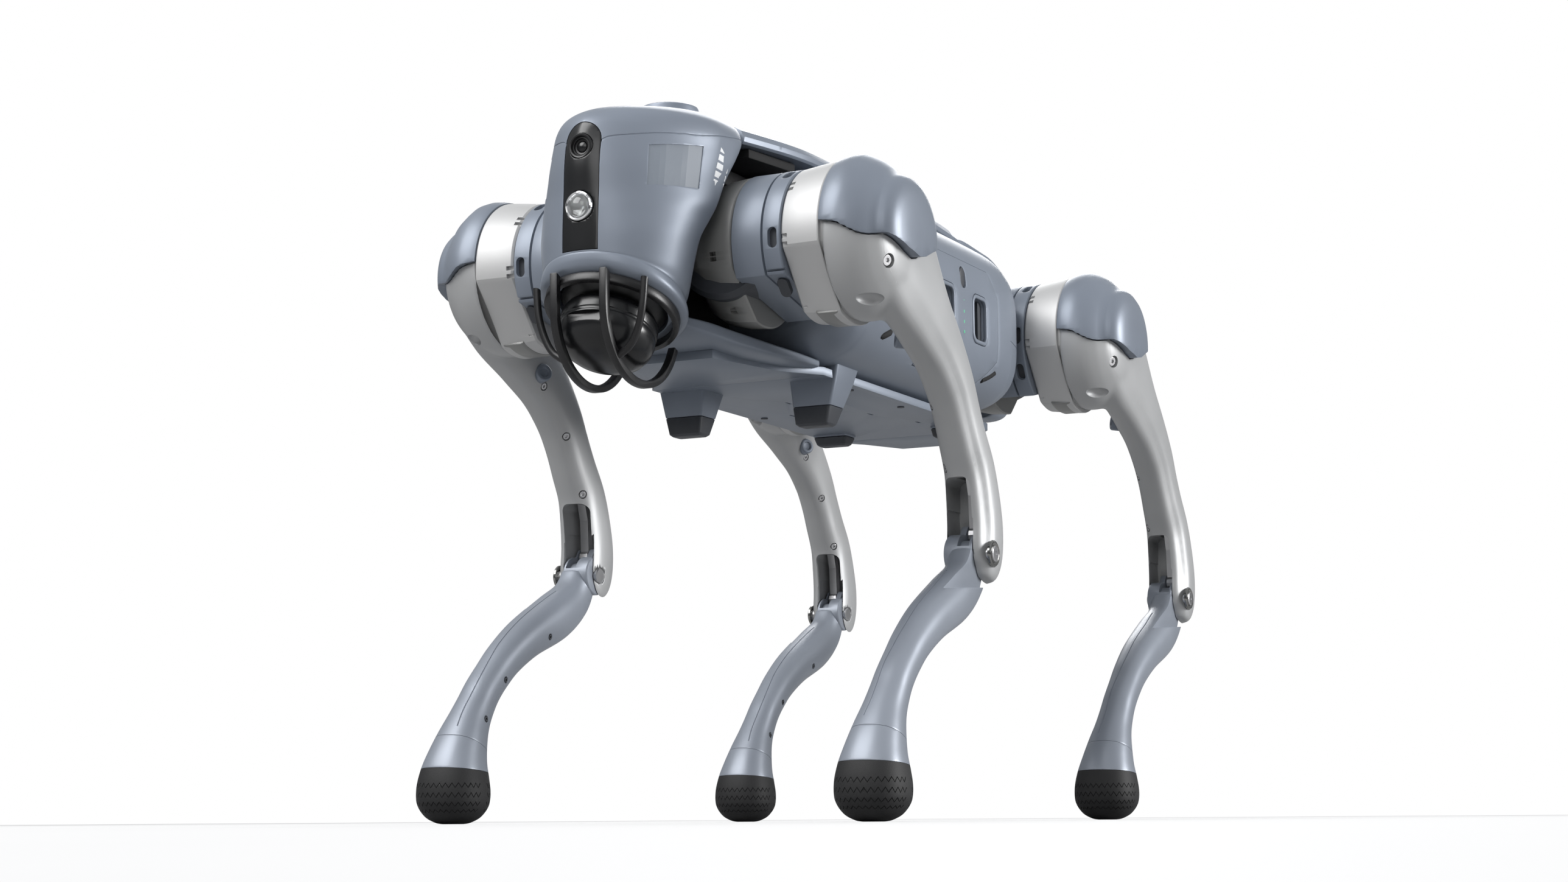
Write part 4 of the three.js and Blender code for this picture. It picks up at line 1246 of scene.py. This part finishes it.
# Area lights: name, place in metres, size and power. They aim at the middle of the robot.
LAMPS = [
    ("key", (1.7, -1.0, 2.2), 1.9, 78.0), ("front", (2.7, 0.9, 1.5), 1.4, 15.0),
    ("side", (-0.9, 2.8, 0.9), 1.0, 84.0), ("rim", (-2.4, -0.9, 1.7), 1.2, 30.0),
]
AIM = Vector((0, 0, 0.25))


def split_for_camera(tree, plain, seen, out):
    """Camera rays meet the shader seen, and all other rays meet the shader plain."""
    path = add_node(tree, "LightPath")
    pick = add_node(tree, "MixShader")
    wire(
        tree, (path, "Is Camera Ray", pick, "Fac"), (plain, 0, pick, 1), (seen, 0, pick, 2),
        (pick, "Shader", tree.nodes[out], "Surface"),
    )


def floor():
    mesh = bpy.data.meshes.new("floor")
    corners = [(FLOOR_HALF * x, FLOOR_HALF * y, 0) for x, y in ((-1, -1), (1, -1), (1, 1), (-1, 1))]
    mesh.from_pydata(corners, [], [(0, 1, 2, 3)])
    plane = bpy.data.objects.new("floor", mesh)
    bpy.context.collection.objects.link(plane)
    pale = finish("pale_floor", (0.30, 0.30, 0.302), 0.8, shade=0.01)
    tree = pale.node_tree
    shader = tree.nodes["Principled BSDF"]
    glow = add_node(tree, "Emission", Color=(1, 1, 1, 1), Strength=FLOOR_GLOW)
    add = add_node(tree, "AddShader")
    wire(tree, (shader, "BSDF", add, 0), (glow, "Emission", add, 1))
    split_for_camera(tree, shader, add, "Material Output")
    dress(plane, pale)


def surroundings():
    """Light from above that fades to dark below; the camera itself sees white."""
    world = bpy.data.worlds.new("studio")
    bpy.context.scene.world = world
    world.use_nodes = True
    tree = world.node_tree
    place = add_node(tree, "TexCoord")
    split = add_node(tree, "SeparateXYZ")
    height = add_node(tree, "MapRange", From_Min=-1.0)
    sky = add_node(tree, "ValToRGB")
    ramp_ends(sky, 0.42, (0.03, 0.03, 0.035), 0.85, (0.96, 0.98, 1.0))
    soft = tree.nodes["Background"]
    soft.inputs["Strength"].default_value = 0.5
    wire(
        tree, (place, "Generated", split, "Vector"), (split, "Z", height, "Value"),
        (height, "Result", sky, "Fac"), (sky, "Color", soft, "Color"),
    )
    white = add_node(tree, "Background", Color=(1, 1, 1, 1), Strength=1.0)
    split_for_camera(tree, soft, white, "World Output")


def lamps():
    for name, spot, size, power in LAMPS:
        light = bpy.data.lights.new(name, "AREA")
        light.size = size
        light.energy = power
        lamp = bpy.data.objects.new(name, light)
        lamp.location = spot
        lamp.rotation_euler = (AIM - Vector(spot)).to_track_quat("-Z", "Y").to_euler()
        bpy.context.collection.objects.link(lamp)


# The camera: place in metres, direction in degrees, and lens on a 36 mm sensor.
CAMERA_PLACE = (1.5721 + CENTRE_X * MM, 0.7654, 0.0016)
CAMERA_YAW = 206.743
CAMERA_PITCH = 8.276
CAMERA_ROLL = -0.381
LENS_MM = 59.72


def camera():
    data = bpy.data.cameras.new("camera")
    data.lens = LENS_MM
    data.sensor_width = 36.0
    data.clip_end = 60.0
    data.clip_start = 0.01
    obj = bpy.data.objects.new("camera", data)
    bpy.context.collection.objects.link(obj)
    yaw = radians(CAMERA_YAW)
    pitch = radians(CAMERA_PITCH)
    ahead = Vector((cos(pitch) * cos(yaw), cos(pitch) * sin(yaw), sin(pitch)))
    turn = ahead.to_track_quat("-Z", "Y").to_matrix().to_4x4()
    roll = Matrix.Rotation(radians(CAMERA_ROLL), 4, "Z")
    obj.matrix_world = Matrix.Translation(CAMERA_PLACE) @ turn @ roll
    bpy.context.scene.camera = obj
    bpy.context.scene.view_settings.view_transform = "Standard"


# The CAD pieces that stay in sight take the look of their slot.
CAD_LOOKS = (SHELL, THIGH, PALE, BLACK, GLOSS_BLACK, RUBBER, STEEL, CLEAR, DARK)
CAD_MATERIAL = {slot: material for material, slot in CAD_LOOKS}
for row in frame["record"]["subparts"]:
    dress(frame["nodes"][row["node"]], CAD_MATERIAL[row["material_slot"]])

build_thigh()
build_calf()
build_hip_housing()
build_head_marks(build_head())
build_face()
build_sensor()
build_trunk()
build_covers()
build_belly()
build_pads()
build_battery()
build_leg_details()
floor()
surroundings()
lamps()
camera()
